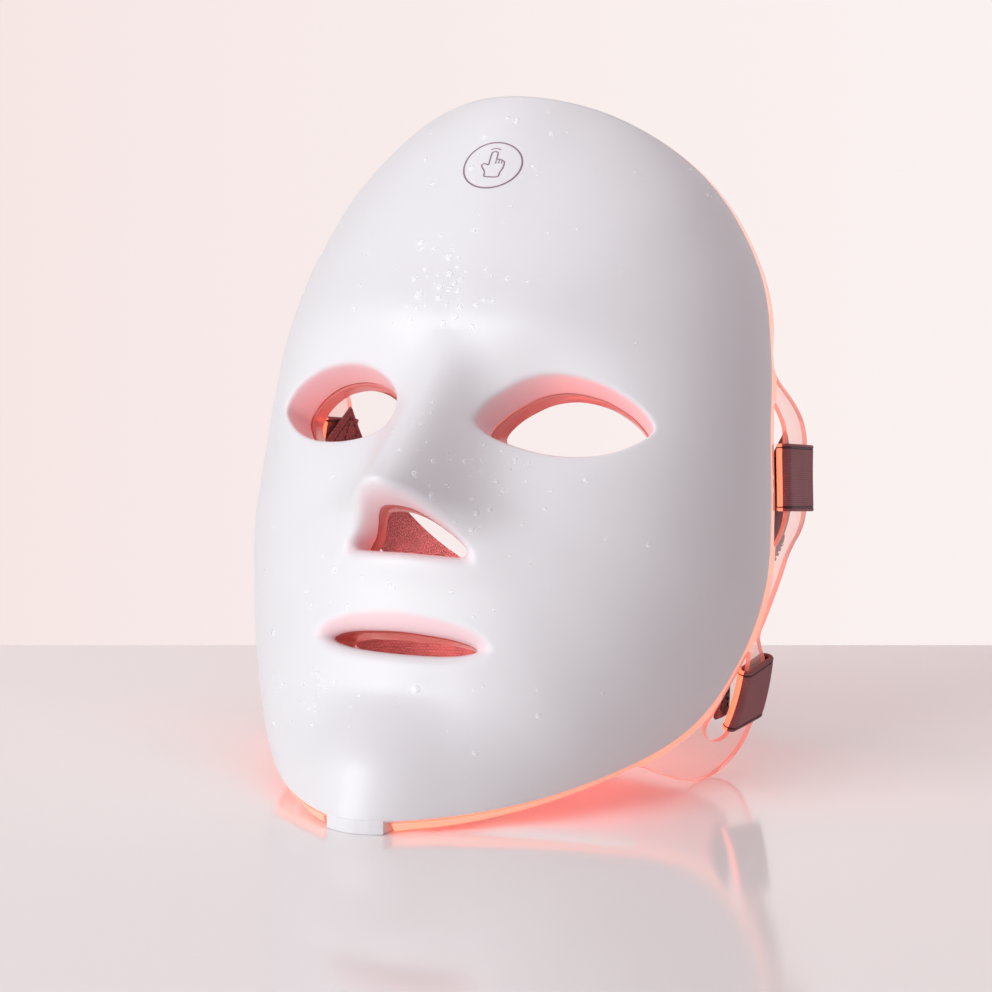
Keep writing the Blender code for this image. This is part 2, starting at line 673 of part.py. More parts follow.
def chin_foot():
    """Block round the charging socket, flat underneath, its front on the chin's curve."""
    heights = np.linspace(*CHIN_HEIGHTS, 60)
    rim = rest(level(past_rim(np.stack([heights, np.zeros(60)], -1)), 0.0))
    half = FOOT_W / 2
    foot_x = np.linspace(-half, half, 7)
    foot_y = np.interp(np.abs(foot_x), rim[:, 0], rim[:, 1])
    rings = []
    # height, and how far the front sits behind the rim
    for z, setback in ((0.0, 0.25), (float(rim[0, 2]), 0.2), (FOOT_H, 3.4)):
        front = [(x, y + setback, z) for x, y in zip(foot_x, foot_y)]
        rings.append(front + [(half, FOOT_BACK, z), (-half, FOOT_BACK, z)])
    body = Body()
    body.loft(rings)
    return body.build("chin_block_tool", WHITE, resting=True)


def pill_ring(growth, y, count=5):
    """Round-ended outline of the socket, widened all round, at a resting-frame y."""
    radius = (SOCKET_H + growth) / 2
    centre = (SOCKET_W + growth) / 2 - radius
    ring = []
    for side in (1, -1):
        for angle in np.radians(np.linspace(-90, 90, count)):
            ring.append((side * (centre + radius * math.cos(angle)), y,
                         SOCKET_Z + side * radius * math.sin(angle)))
    return ring


def socket_pocket():
    """Cutter for the pocket in the foot, open to the rear."""
    body = Body()
    body.loft([pill_ring(2 * FIT_GAP, FOOT_BACK + 2),
               pill_ring(2 * FIT_GAP, FOOT_BACK - SOCKET_L - POCKET_END_GAP)])
    return body.build("socket_cutter", DARK, resting=True)


# ---- liner ---------------------------------------------------------------------
def liner_depth(flat):
    past = behind(flat)
    sunk = LINER_EDGE_LEVEL + (LINER_LEVEL - LINER_EDGE_LEVEL) * ease(*LINER_RAMP, -past)
    return np.where(past > STEP_AT, EAR_LEVEL, sunk)


def liner_back(flat):
    past = behind(flat)
    wall = EDGE_WALL + (LINER_WALL - EDGE_WALL) * ease(*WALL_RAMP, -past)
    return liner_depth(flat) + np.where(past > STEP_AT, EAR_WALL, wall)


def screw_hole(x, z, radius, sides=8):
    """Small circle on the liner round a screw, as pattern points."""
    centre = pattern([(x, z)])
    depth = liner_depth(centre)
    out = through(x, z)[3]
    step = 0.2
    jacobian = np.stack([
        (level(centre + shift, depth) - level(centre - shift, depth))[0]
        for shift in np.array([[step, 0], [0, step]])], -1) / (2 * step)
    across = unit(np.array([1.0, 0, 0]) - out * out[0])
    other = np.cross(out, across)
    angles = np.linspace(0, 2 * math.pi, sides, endpoint=False)
    ring = (np.outer(np.cos(angles), across) + np.outer(np.sin(angles), other)) * radius
    return centre + ring @ np.linalg.pinv(jacobian).T


def liner_outline():
    left = past_rim(smooth_curve(EAR_EDGE, 50, closed=False))
    ear_top, ear_bottom = rim_angle(EAR_EDGE[0][0]), rim_angle(EAR_EDGE[-1][0])
    crown = at_angle(np.linspace(ear_top, math.pi - ear_top, 24)[1:-1], BAND)
    jaw = at_angle(np.linspace(ear_bottom, NOTCH_ANGLE, 9)[1:], BAND)
    notch = at_angle(NOTCH_ANGLE + np.array([0, 0, 0.028, 0.055]),
                     [FIT_GAP + STEP_WIDTH, FIT_GAP, -4.0, -NOTCH_UP])
    side = np.concatenate([left, jaw, notch])          # from temple down to the chin
    base = at_angle(np.linspace(-math.pi - NOTCH_ANGLE, NOTCH_ANGLE, 5)[1:-1], -NOTCH_UP)
    return np.concatenate([side[::-1], crown, side * [-1, 1], base])


def build_liner():
    outline = liner_outline()
    slots = [past_rim(smooth_curve(UPPER_SLOT, 22)), past_rim(smooth_curve(LOWER_SLOT, 18))]
    slots += [mirrored(slot) for slot in slots]
    bores = [screw_hole(x * side, z, BORE_RADIUS)
             for x, z in SCREWS.values() for side in SIDES.values()]
    # two edges along the rim make the step crisp
    angles = np.linspace(NOTCH_ANGLE, math.pi - NOTCH_ANGLE, 75)
    ridges = [at_angle(angles, FIT_GAP + STEP_WIDTH), at_angle(angles, FIT_GAP)]
    for ridge in ridges:
        for end in (0, -1):      # meet the outline exactly
            gaps = np.linalg.norm(outline - ridge[end], axis=1)
            ridge[end] = outline[np.argmin(gaps)]
    grid = graded_grid(15.0, 9.2)
    grid = grid[np.abs(behind(grid)) > 3.2]
    collars, throats, collar_rings = [], [], []
    for loop, kind in OPENINGS:
        outer, inner, throat = [pattern(grow(loop, amount)) for amount in COLLAR[kind]]
        collars.append(outer)
        throats.append(throat)
        collar_rings.append([level(wall, LINER_LEVEL - COLLAR_RISE) for wall in (outer, inner)])
    sheets = []
    for holes, depth_at in ((collars, liner_depth), (throats, liner_back)):
        flat, faces, spans = triangulate(outline, holes + slots + bores, grid, ridges, clear=2.2)
        sheets.append((level(flat, depth_at(flat)), faces, spans))
    rings = [[]] + collar_rings + [[] for _ in slots + bores]
    sheet_body(*sheets, rings).build("inner_liner", CLEAR)


# ---- screws and posts ---------------------------------------------------------------
def liner_heights(x, z, radius, depth_at):
    """Heights of a liner face round a screw, along the screw's own axis."""
    origin, _, _, out = through(x, z)
    ring = screw_hole(x, z, radius, 12)
    return (level(ring, depth_at(ring)) - origin) @ out


def screw_posts():
    """Hollow posts that join the shell and stop just short of the liner."""
    posts = Body()
    for x, z in SCREWS.values():
        for side in SIDES.values():
            end = liner_heights(x * side, z, POST_RADIUS, liner_depth).max() + FIT_GAP
            profile = [(0, -POST_TOP), (POST_RADIUS, -POST_TOP), (POST_RADIUS, end),
                       (PILOT_RADIUS, end), (PILOT_RADIUS, -PILOT_TOP), (0, -PILOT_TOP)]
            turned(posts, through(x * side, z), profile, 10)
    return posts.build("posts_tool", WHITE)


def build_screws():
    for place, (x, z) in SCREWS.items():
        for side_name, side in SIDES.items():
            under = liner_heights(x * side, z, HEAD_RADIUS, liner_back).min() - FIT_GAP
            rear = under - HEAD_THICK - HEAD_BEVEL
            profile = [(0, rear), (HEAD_FLAT_RADIUS, rear), (HEAD_RADIUS, under - HEAD_THICK),
                       (HEAD_RADIUS, under), (SHANK_RADIUS, under),
                       (SHANK_RADIUS, -SCREW_TIP), (0, -SCREW_TIP)]
            body = Body()
            turned(body, through(x * side, z), profile, 12)
            body.build(f"screw_{place}_{side_name}", STEEL)


# ---- boards ---------------------------------------------------------------------------
def lamp_board(name, loop):
    """Board with square lamps on its rear face, on a grid about its middle."""
    board = slab(name, BOARD, pattern(loop), triangle_grid(BOARD_GRID_PITCH),
                 (BOARD_LEVEL, BOARD_LEVEL + BOARD_THICK), clear=4.0)
    low, high = loop.min(0), loop.max(0)
    middle = (low + high) / 2
    columns, rows = ((high - low) / LED_PITCH / 2).astype(int) + 1
    spots = np.array([(middle[0] + i * LED_PITCH, middle[1] + j * LED_PITCH)
                      for i in range(-columns, columns + 1) for j in range(-rows, rows + 1)])
    lamps = Body()
    for x, z in spots[inside(grow(loop, -LED_MARGIN), spots)]:
        centred_box(lamps, seat(x, z, BOARD_LEVEL), (LED, LED),
                    (BOARD_THICK - LED_SUNK, BOARD_THICK + LED_PROUD))
    combine(board, lamps.build(name + "_lamps_tool", BOARD), "UNION")


def build_lamp_boards():
    lamp_board("led_board_forehead", smooth_curve(both_sides(FOREHEAD), 34))
    cheek = smooth_curve(CHEEK, 30)
    lamp_board("led_board_cheek_left", cheek)
    lamp_board("led_board_cheek_right", mirrored(cheek))
    lamp_board("led_board_chin", smooth_curve(both_sides(CHIN), 26))


def build_flexes():
    """Ribbons joining neighbouring lamp boards."""
    for name, (points, count) in FLEXES.items():
        centre = smooth_curve(points, count, closed=False)
        ahead = unit(np.gradient(centre, axis=0))
        offset = np.stack([-ahead[:, 1], ahead[:, 0]], -1) * FLEX_WIDTH / 2
        left = np.concatenate([centre - offset, (centre + offset)[::-1]])
        for side_name, loop in (("left", left), ("right", mirrored(left))):
            slab(f"{name}_{side_name}", AMBER, pattern(loop), np.zeros((0, 2)), FLEX_DEPTHS)


def build_touch_key():
    ring = ring_of(np.linspace(-math.pi, math.pi, 24, endpoint=False)) * KEY_RADII + KEY_CENTRE
    slab("touch_electrode", COPPER, pattern(ring), triangle_grid(BOARD_GRID_PITCH),
         KEY_DEPTHS, clear=2.5)


def build_controller():
    frame = seat(*CONTROL_CENTRE, 0.0)
    rear = CONTROL_LEVEL + BOARD_THICK
    body = Body()
    centred_box(body, frame, CONTROL_SIZE, (CONTROL_LEVEL, rear))
    board = body.build("control_board", GREEN)
    chips = Body()
    for x, z, width, height, proud in CHIPS:
        box(chips, frame, (x - width / 2, z - height / 2, -rear - proud),
            (x + width / 2, z + height / 2, -rear + CHIP_SUNK))
    combine(board, chips.build("chips_tool", DARK), "UNION")


def build_battery():
    """Battery cell, with a foam pad in front of it."""
    frame = seat(*CELL_CENTRE, 0.0)
    body = Body()
    centred_box(body, frame, CELL_SIZE, CELL_DEPTHS)
    battery = body.build("battery_cell", FOIL)
    bevel = battery.modifiers.new("soft_edges", "BEVEL")
    bevel.width = CELL_BEVEL * MM
    bevel.segments = 2
    body = Body()
    centred_box(body, frame, PAD_SIZE, PAD_DEPTHS)
    body.build("battery_foam_pad", FOAM)


def build_leads():
    for name, (mat, radius, count, points, depths) in LEADS.items():
        route = smooth_curve(points, count, closed=False)
        depth = np.interp(np.linspace(0, 1, count), np.linspace(0, 1, len(depths)), depths)
        body = Body()
        tube(body, level(pattern(route), depth), radius)
        body.build(name, mat)


def build_socket():
    """Socket cup open to the rear, its tongue, and the board above the foot."""
    mouth, end = FOOT_BACK - 0.1, FOOT_BACK - SOCKET_L
    body = Body()
    body.loft([pill_ring(-2 * SOCKET_WALL, end + SOCKET_FLOOR),
               pill_ring(-2 * SOCKET_WALL, mouth),
               pill_ring(0, mouth),
               pill_ring(0, end)])
    body.build("usb_c_shell", STEEL, resting=True)
    body = Body()
    box(body, RESTING_FRAME, (-TONGUE_W / 2, end + 0.8, SOCKET_Z - TONGUE_THICK / 2),
        (TONGUE_W / 2, mouth - 1.0, SOCKET_Z + TONGUE_THICK / 2))
    body.build("usb_c_tongue", DARK, resting=True)
    under = FOOT_H + FIT_GAP
    body = Body()
    box(body, RESTING_FRAME, (-CHARGE_BOARD_W / 2, CHARGE_BOARD_Y[0], under),
        (CHARGE_BOARD_W / 2, CHARGE_BOARD_Y[1], under + BOARD_THICK))
    body.build("charge_board", GREEN, resting=True)


# ---- strap loops and straps ----------------------------------------------------------
def rounded(width, height, radius, count=2):
    """Rectangle with rounded corners, count points to a corner."""
    x, y = width / 2 - radius, height / 2 - radius
    points = []
    for centre_x, centre_y, start in ((x, y, 0), (-x, y, 90), (-x, -y, 180), (x, -y, 270)):
        for angle in np.radians(np.linspace(start, start + 90, count)):
            points.append((centre_x + radius * math.cos(angle),
                           centre_y + radius * math.sin(angle)))
    return points


def ear_point(height, distance, depth=EAR_MID):
    """Resting-frame point on the left ears."""
    return rest(level(past_rim([(height, distance)]), depth))[0]


def bar_frame(bar):
    """Left bar's centre and its backward, upward and outward axes, resting frame."""
    height, distance, slant = bar
    shift = BAR_HALF * slant
    upward = unit(ear_point(height + BAR_HALF, distance + shift)
                  - ear_point(height - BAR_HALF, distance - shift))
    out = ear_point(height, distance, 0.0) - ear_point(height, distance, 1.0)
    out = unit(out - upward * (out @ upward))
    backward = np.cross(upward, out)
    if backward[1] < 0:
        backward = -backward
    return ear_point(height, distance), backward, upward, out


def strap_loop(name, bar, width, side):
    """Woven loop that follows the curve of the ear it wraps."""
    _, backward, upward, _ = bar_frame(bar)
    height, distance, _ = bar
    step = 0.5
    jacobian = np.stack([
        ear_point(height + step, distance) - ear_point(height - step, distance),
        ear_point(height, distance + step) - ear_point(height, distance - step)],
        -1) / (2 * step)
    inverse = np.linalg.pinv(jacobian)
    along_up, along_back = inverse @ upward, inverse @ backward
    body = Body()
    walls = []
    for growth in (0, 2 * LOOP_WALL):
        thick = LOOP_GAP + growth
        section = np.array(rounded(width + growth, thick, thick / 2 * LOOP_ROUND, 3))
        rows = []
        for offset in np.linspace(-0.5, 0.5, 5) * STRAP_WIDTH:
            stations = (np.array([height, distance]) + np.outer(section[:, 0], along_back)
                        + along_up * offset)
            points = rest(level(past_rim(stations), EAR_MID - section[:, 1]))
            rows.append(body.add(points * [side, 1, 1]))
        for first, second in zip(rows[:-1], rows[1:]):
            body.ribbon(first, second)
        walls.append(rows)
    inner, outer = walls
    body.ribbon(inner[0], outer[0])
    body.ribbon(inner[-1], outer[-1])
    body.build(name, STRAP, resting=True)


def strap_path(spec, count, inset=0.0, span=(0.0, 1.0)):
    """Centre line of a slack strap from the right loop round the back to the left.

    Returns points, the width direction and face directions in the resting frame.
    """
    centre, _, _, out = bar_frame(spec["bar"])
    start = centre - out * (LOOP_GAP / 2 + LOOP_WALL + spec["clear"] + STRAP_THICK / 2)
    arc = math.pi * (1 - np.linspace(*span, count))
    x = start[0] * np.sign(np.cos(arc)) * np.abs(np.cos(arc)) ** 0.8
    y = (spec["reach"] + STRAP_LEAD) * np.sin(arc) ** 0.9 - STRAP_LEAD
    zero = np.zeros_like(x)
    flat = np.stack([x, y, zero], -1)
    ahead = unit(np.gradient(flat, axis=0))
    face = np.stack([ahead[:, 1], -ahead[:, 0], zero], -1)
    flat += face * inset
    cos, sin = math.cos(spec["droop"]), math.sin(spec["droop"])
    turn = np.array([[1, 0, 0], [0, cos, sin], [0, -sin, cos]])
    pivot = np.array([0, start[1], start[2]])
    return flat @ turn.T + pivot, turn @ [0, 0, 1.0], face @ turn.T


def webbing(name, mat, path, width, thick, corner):
    points, wide, faces = path
    section = rounded(thick, width, corner)
    body = Body()
    body.loft([[point + wide * y + face * x for x, y in section]
               for point, face in zip(points, faces)])
    body.build(name, mat, resting=True)


def build_straps():
    """Ear loops, straps, and hook tape on the straps' outer faces."""
    for place, spec in STRAPS.items():
        for side_name, side in SIDES.items():
            strap_loop(f"{place}_loop_{side_name}", spec["bar"], spec["loop_width"], side)
        webbing(place + "_strap", STRAP, strap_path(spec, 33), STRAP_WIDTH, STRAP_THICK, 0.5)
        inset = -(STRAP_THICK / 2 + TAPE_GAP + TAPE_THICK / 2)
        for side_name, span in TAPE_SPANS.items():
            webbing(f"{place}_hook_tape_{side_name}", HOOK, strap_path(spec, 9, inset, span),
                    STRAP_WIDTH - 2 * TAPE_MARGIN, TAPE_THICK, 0.3)


# ---- build the mask -------------------------------------------------------------------
shell = build_shell()
combine(shell, chin_foot(), "UNION")
combine(shell, socket_pocket(), "DIFFERENCE")
build_liner()
combine(shell, screw_posts(), "UNION")
build_screws()
build_lamp_boards()
build_flexes()
build_touch_key()
build_controller()
build_battery()
build_leads()
build_socket()
build_straps()
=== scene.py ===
"""Light-therapy face mask: shell, clear liner, lamps, wiring, woven loops and straps.

Shapes are drawn in millimetres in the face's upright frame: +x is the wearer's left,
-y points out of the face and +z is up. rest() leans them back onto the table, chin
foot down. Pieces marked resting are drawn in that leaning frame directly.
Three coordinates are used on the face:
  front view (x, z);
  flat pattern, the dome rolled out flat round its crown, which level() puts in space;
  rim places (height on the rim, distance behind the rim), used for the ears.
"""
import json
import math

import bmesh
import bpy
import numpy as np
from mathutils import Matrix, Vector
from mathutils.geometry import delaunay_2d_cdt
from mathutils.kdtree import KDTree

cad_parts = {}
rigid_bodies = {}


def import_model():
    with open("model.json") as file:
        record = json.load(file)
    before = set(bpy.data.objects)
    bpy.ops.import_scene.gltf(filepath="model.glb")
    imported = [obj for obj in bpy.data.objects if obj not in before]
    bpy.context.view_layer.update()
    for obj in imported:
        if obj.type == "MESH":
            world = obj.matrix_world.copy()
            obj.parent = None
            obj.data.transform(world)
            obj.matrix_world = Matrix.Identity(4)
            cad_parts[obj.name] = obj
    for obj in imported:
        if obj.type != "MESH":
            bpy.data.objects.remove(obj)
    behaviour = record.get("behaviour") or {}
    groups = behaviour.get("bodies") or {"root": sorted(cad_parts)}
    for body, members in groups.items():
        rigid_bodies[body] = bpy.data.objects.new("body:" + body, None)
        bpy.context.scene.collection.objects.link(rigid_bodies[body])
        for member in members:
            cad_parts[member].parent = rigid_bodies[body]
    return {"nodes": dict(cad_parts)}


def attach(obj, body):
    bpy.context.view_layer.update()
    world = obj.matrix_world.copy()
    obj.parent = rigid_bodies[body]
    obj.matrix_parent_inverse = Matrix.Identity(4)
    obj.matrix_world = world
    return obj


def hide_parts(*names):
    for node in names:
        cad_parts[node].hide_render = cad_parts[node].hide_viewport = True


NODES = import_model()["nodes"]


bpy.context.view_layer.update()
MM = 0.001

# ---- resting posture ----
LEAN_BACK = math.radians(20.6)   # how far the face leans back on the table
LIFT = 84.35                     # height of the face frame's origin
SET_BACK = 93.0                  # face frame's origin behind the chin foot

# ---- shell form, by direction round the face (degrees, 0 = temple side) ----
DIRECTIONS = [-90, -75, -60, -45, -30, -15, 0, 15, 30, 45, 60, 75, 90]
RADIUS = [109.3, 106.6, 102.3, 96.4, 88.9, 84.2, 81.2, 82.4, 89.4, 99.9, 108.6, 111.6, 110.6]
RIM_DEPTH = [-59.9, -43.8, -21.3, 3.6, 14.7, 15.5, 11.2, 5.8, 2.3, -1.5, -13.0, -27.1, -37.2]
FULLNESS = [3.2, 3.1, 2.9, 2.6, 2.4, 2.25, 2.2, 2.2, 2.25, 2.3, 2.4, 2.4, 2.4]
WRAP = [66, 68, 74, 80, 85, 88, 88, 88, 86, 82, 76, 72, 70]
FLARE = [55, 38, 12, 0, 0, 0, 0, 0, 0, 0, 5, 12, 18]   # outward lean of the liner's edge band
CROWN = 52.6                     # front of the plain dome ahead of the frame
SLOPE = 0.02
# soft mounds on the dome: height, centre x, spread x, centre z, spread z (both sides)
MOUNDS = [(-6, 30, 20, 14, 15),      # eye hollows
          (3.5, 16, 30, 38, 13),     # brow
          (5.5, 0, 26, -31, 12),     # under the nose
          (1.0, 0, 26, -56, 12),     # mouth
          (-2.0, 0, 24, -72, 7),     # dip over the chin
          (6.0, 0, 30, -94, 12),     # chin
          (-2.0, 0, 40, 88, 25)]     # forehead

# ---- walls, and depths below the outer surface ----
SHELL_WALL = 2.0
RIM_IN = 0.55                    # where the shell's skin turns into its rolled rim
BOARD_LEVEL = 7.6
BOARD_THICK = 0.8
LINER_LEVEL = 11.6
LINER_EDGE_LEVEL = 2.4
LINER_WALL = 2.1
EDGE_WALL = 1.4                  # liner at its edge and in the ears
EAR_MID = 1.2                    # middle of an ear's wall
BAND = 3.0                       # liner edge that shows behind the shell
FIT_GAP = 0.35
EDGE_INSET = 0.32                # rounding of the liner's cut edges

# ---- openings, front view (x, z), wearer's left half ----
EYE = [(12.9, 7.8), (15, 14.6), (20, 19.6), (26, 22.8), (34, 24.2), (43, 23.2), (50, 20.8),
       (56, 17.3), (59.6, 12.8), (57.5, 8.6), (51, 3.8), (43, 1.1), (34, 0.5), (25, 1.6),
       (17, 3.8)]
NOSE = [(0, -18.2), (5.5, -18.7), (9.5, -20.6), (13, -23.6), (16.5, -27.3), (19.4, -31),
        (18.6, -33.8), (12, -34.4), (0, -34.4)]
MOUTH = [(0, -50.6), (10, -51.2), (18, -52.4), (24, -54.4), (26.6, -57), (24, -59.5),
         (17, -61.6), (8, -62.5), (0, -62.7)]
# rolled lips, outside first: inwards from the outline, depth, how far the painted red glow (pink
# colour) has come in
LIP = {
    "eye": [(-1.5, 0.0, 0), (-1.1, 0.03, 0), (-0.75, 0.09, 0), (-0.45, 0.2, 0.05),
            (-0.2, 0.38, 0.2), (0.0, 0.65, 0.45), (0.14, 1.05, 0.72), (0.22, 1.6, 0.88),
            (0.26, 2.4, 0.94), (0.28, 3.6, 0.98), (0.3, 5.2, 1), (0.3, 7.0, 1), (0.3, 8.7, 1),
            (0.26, 9.15, 1), (0.1, 9.38, 1), (-0.2, 9.45, 1), (-0.7, 9.45, 1), (-1.0, 9.3, 1),
            (-1.15, 8.9, 1), (-1.3, 6.0, 1), (-1.5, 3.6, 1)],
    "nose": [(-2.6, 0.0, 0), (-1.9, 0.04, 0), (-1.2, 0.14, 0.03), (-0.5, 0.33, 0.12),
             (0.15, 0.62, 0.26), (0.75, 1.05, 0.42), (1.25, 1.6, 0.56), (1.65, 2.3, 0.68),
             (1.98, 3.2, 0.8), (2.22, 4.4, 0.9), (2.42, 6.0, 0.97), (2.55, 7.6, 1),
             (2.6, 8.8, 1), (2.55, 9.2, 1), (2.3, 9.4, 1), (1.5, 9.45, 1), (1.2, 9.3, 1),
             (1.0, 8.7, 1), (0.4, 6.2, 1), (-0.4, 3.6, 1)],
    "mouth": [(-2.8, 0.0, 0), (-2.1, 0.04, 0), (-1.5, 0.13, 0.12), (-0.9, 0.28, 0.38),
              (-0.3, 0.48, 0.66), (0.3, 0.76, 0.86), (0.9, 1.14, 0.97), (1.45, 1.62, 1.06),
              (1.95, 2.2, 1.12), (2.35, 2.85, 1.15), (2.65, 3.5, 1), (2.82, 4.1, 1),
              (2.8, 4.5, 1), (2.6, 4.75, 1), (2.1, 4.85, 1), (1.5, 4.75, 1), (1.2, 4.5, 1),
              (0.6, 4.1, 1), (-0.4, 3.5, 1)]}
# liner collars, front to back: outwards from the outline, depth behind LINER_LEVEL;
# the first and last rings belong to the liner's front and back sheets
COLLAR = {
    "eye": [(1.0, 0), (0.55, -0.10), (0.30, -0.6), (0.22, -1.2), (0.10, -1.55),
            (-0.15, -1.68), (-0.45, -1.68), (-0.70, -1.55), (-0.86, -1.2), (-1.0, -0.4),
            (-1.25, 0.9), (-1.3, 1.9), (-0.9, LINER_WALL)],
    "nose": [(-0.5, 0), (-0.9, -0.1), (-1.2, -0.6), (-1.35, -1.3), (-1.5, -1.6),
             (-1.8, -1.68), (-2.2, -1.68), (-2.45, -1.55), (-2.6, -1.2), (-2.75, 0),
             (-2.8, 1.3), (-2.8, 1.9), (-2.4, LINER_WALL)],
    "mouth": [(-0.5, 0), (-0.9, -0.1), (-1.3, -1.2), (-1.6, -4.4), (-1.7, -6.0),
              (-1.85, -6.35), (-2.15, -6.48), (-2.5, -6.42), (-2.72, -6.1), (-2.85, -5.0),
              (-3.0, -2.6), (-3.1, 1.3), (-3.1, 1.9), (-2.7, LINER_WALL)]}

# ---- liner ears, as rim places ----
EAR_EDGE = [(42, 3), (39.5, 7), (37.5, 17), (35.6, 24.5), (33, 30), (29.5, 33), (26, 34),
            (17, 34), (8, 33), (3.5, 31), (-1, 27), (-5, 22), (-10, 17), (-15, 13.7),
            (-22, 10), (-30, 7.6), (-35, 7.2), (-38, 12), (-41.5, 19.5), (-50, 28.5),
            (-58, 36), (-63, 40.3), (-67, 42.6), (-71.2, 43), (-74.6, 41.6), (-77.0, 37.5),
            (-78.6, 30), (-79.4, 20), (-79.9, 10), (-80.3, 3)]
UPPER_SLOT = [(31.5, 4), (30, 9.5), (27.6, 13.6), (23.9, 15.2), (13, 15.3), (2.8, 14.9),
              (-1.2, 13.2), (-5.3, 9.6), (-9, 4.6), (-6, 3.9), (10, 3.9), (25, 3.9)]
LOWER_SLOT = [(-41, 5.2), (-45, 9.3), (-50, 14.5), (-56, 20), (-61, 24.0), (-65.4, 26.4),
              (-67.4, 20), (-64.5, 9.5), (-55, 4.6), (-46, 3.9), (-42, 3.9)]

# ---- straps and the woven loops that hold them ----
STRAP_WIDTH = 20.0
STRAP_THICK = 1.6
SLEEVE_WALL = 1.2
SLEEVE_GAP = 2.3                 # inside thickness of a loop
SLEEVE_LIT = 0.9                 # length of loop next to the shell that glows
TAPE_WIDTH = STRAP_WIDTH - 3
TAPE_THICK = 0.75
# bar is (height, behind the rim, slant); reach is how far the slack strap bows out behind
STRAPS = {
    "upper": dict(bar=(15.0, 24.7, 0.0), sleeve=21.0, reach=64.0, droop=60, clear=1.6),
    "lower": dict(bar=(-51.0, 22.3, -0.95), sleeve=15.0, reach=36.0, droop=4, clear=4.8)}

# ---- chin foot and charging socket ----
FOOT_W, FOOT_BACK, FOOT_H = 17.6, 6.6, 7.6
FOOT_CORNER = 0.6
SOCKET_W, SOCKET_H, SOCKET_L, SOCKET_Z = 9.0, 3.3, 7.0, 4.2
NOTCH_UP = 17.0
NOTCH_HALF = 10.9                # the liner stops this far each side of the foot
NOTCH_TURN = -math.acos(NOTCH_HALF / 109.1)

# ---- screws and lamps ----
SCREWS = {"forehead": (30, 84), "temple": (70, 40), "cheek": (61, -33), "jaw": (40, -78)}
SCREW_TIP = -5.2                 # along the post's outward axis
LED_PITCH = 13.0
# lamp fields, front view; the middle two are drawn as their x >= 0 halves
FOREHEAD = [(0, 74), (16, 73.5), (30, 70), (42, 61), (47, 50), (44, 42.5), (30, 38),
            (12, 36.5), (0, 36.5)]
CHEEK = [(26, -9), (36, -6.5), (48, -5.5), (60, -6.5), (63, -14), (58, -24), (53, -35),
         (48, -46), (40, -46.5), (32, -43), (27.5, -35), (25.5, -22)]
CHIN = [(0, -70), (14, -70), (25, -71), (29, -78), (27, -88), (18, -95), (0, -97)]

NO_INFO = (0.0, 0.0, 0.0)
FLAT = (np.zeros(3), *np.eye(3))  # plain seat frame: centre, right, up, out


# ---- form of the face ----
def unit(v):
    return v / np.maximum(np.linalg.norm(v, axis=-1, keepdims=True), 1e-9)


def by_direction(values, angle):
    """Smooth (cubic Hermite) reading of a form table at the given directions."""
    knots = np.array(DIRECTIONS, float)
    values = np.array(values, float)
    slope = np.zeros_like(values)
    slope[1:-1] = (values[2:] - values[:-2]) / (knots[2:] - knots[:-2])
    i = np.clip(np.searchsorted(knots, angle) - 1, 0, len(knots) - 2)
    gap = knots[i + 1] - knots[i]
    t = (angle - knots[i]) / gap
    return ((2 * t**3 - 3 * t**2 + 1) * values[i] + (t**3 - 2 * t**2 + t) * gap * slope[i]
            + (-2 * t**3 + 3 * t**2) * values[i + 1] + (t**3 - t**2) * gap * slope[i + 1])


def ease(start, stop, x):
    t = np.clip((x - start) / (stop - start), 0, 1)
    return t * t * (3 - 2 * t)


def direction(flat):
    return np.degrees(np.arctan2(flat[:, 1], np.abs(flat[:, 0])))


def radius_and_wrap(flat):
    angle = direction(flat)
    return by_direction(RADIUS, angle), np.radians(by_direction(WRAP, angle))


def rim_radius(flat):
    """Radius of the rim in the flat pattern, in the direction of each point."""
    radius, wrap = radius_and_wrap(flat)
    return radius * wrap / np.sin(wrap)


def behind(flat):
    """Distance of a pattern point behind the rim; negative on the face."""
    return np.hypot(flat[:, 0], flat[:, 1]) - rim_radius(flat)


def relief(x, z):
    """Height of nose, brow, lips and chin over the plain dome."""
    aside = np.abs(x)
    down = np.clip((34 - z) / 46, 0, 1.3)   # 0 at the nose's root, 1 near its tip
    ridge = 24 * down ** 1.25 * np.exp(-(aside / (8 + 7.5 * np.clip(down, 0, 1.2))) ** 2.1)
    total = ridge * ease(-31, -16, z)
    for height, mid_x, wide, mid_z, tall in MOUNDS:
        total = total + height * np.exp(-((aside - mid_x) / wide) ** 2 - ((z - mid_z) / tall) ** 2)
    return total


def dome(flat):
    """Plain dome, without the features, at pattern points."""
    angle = direction(flat)
    radius, wrap = radius_and_wrap(flat)
    full = by_direction(FULLNESS, angle)
    reach = np.hypot(flat[:, 0], flat[:, 1])
    edge = rim_radius(flat)
    sine = np.sin(np.minimum(reach, edge) * np.sin(wrap) / radius)
    safe = np.maximum(reach, 1e-9)
    scale = np.where(reach > 1e-9, radius * sine / np.sin(wrap) / safe, 1.0)
    x, z = flat[:, 0] * scale, flat[:, 1] * scale
    rise = ((1 - (1 - np.clip(sine, 0, 1) ** full) ** (1 / full))
            / (1 - (1 - np.sin(wrap) ** full) ** (1 / full)))
    lean = np.radians(by_direction(FLARE, angle))
    past = np.maximum(reach - edge, 0)
    depth = by_direction(RIM_DEPTH, angle)
    y = -CROWN + (CROWN + depth) * rise + SLOPE * z + past * np.cos(lean)
    out = past * np.sin(lean) / safe
    return np.stack([x + flat[:, 0] * out, y, z + flat[:, 1] * out], -1)


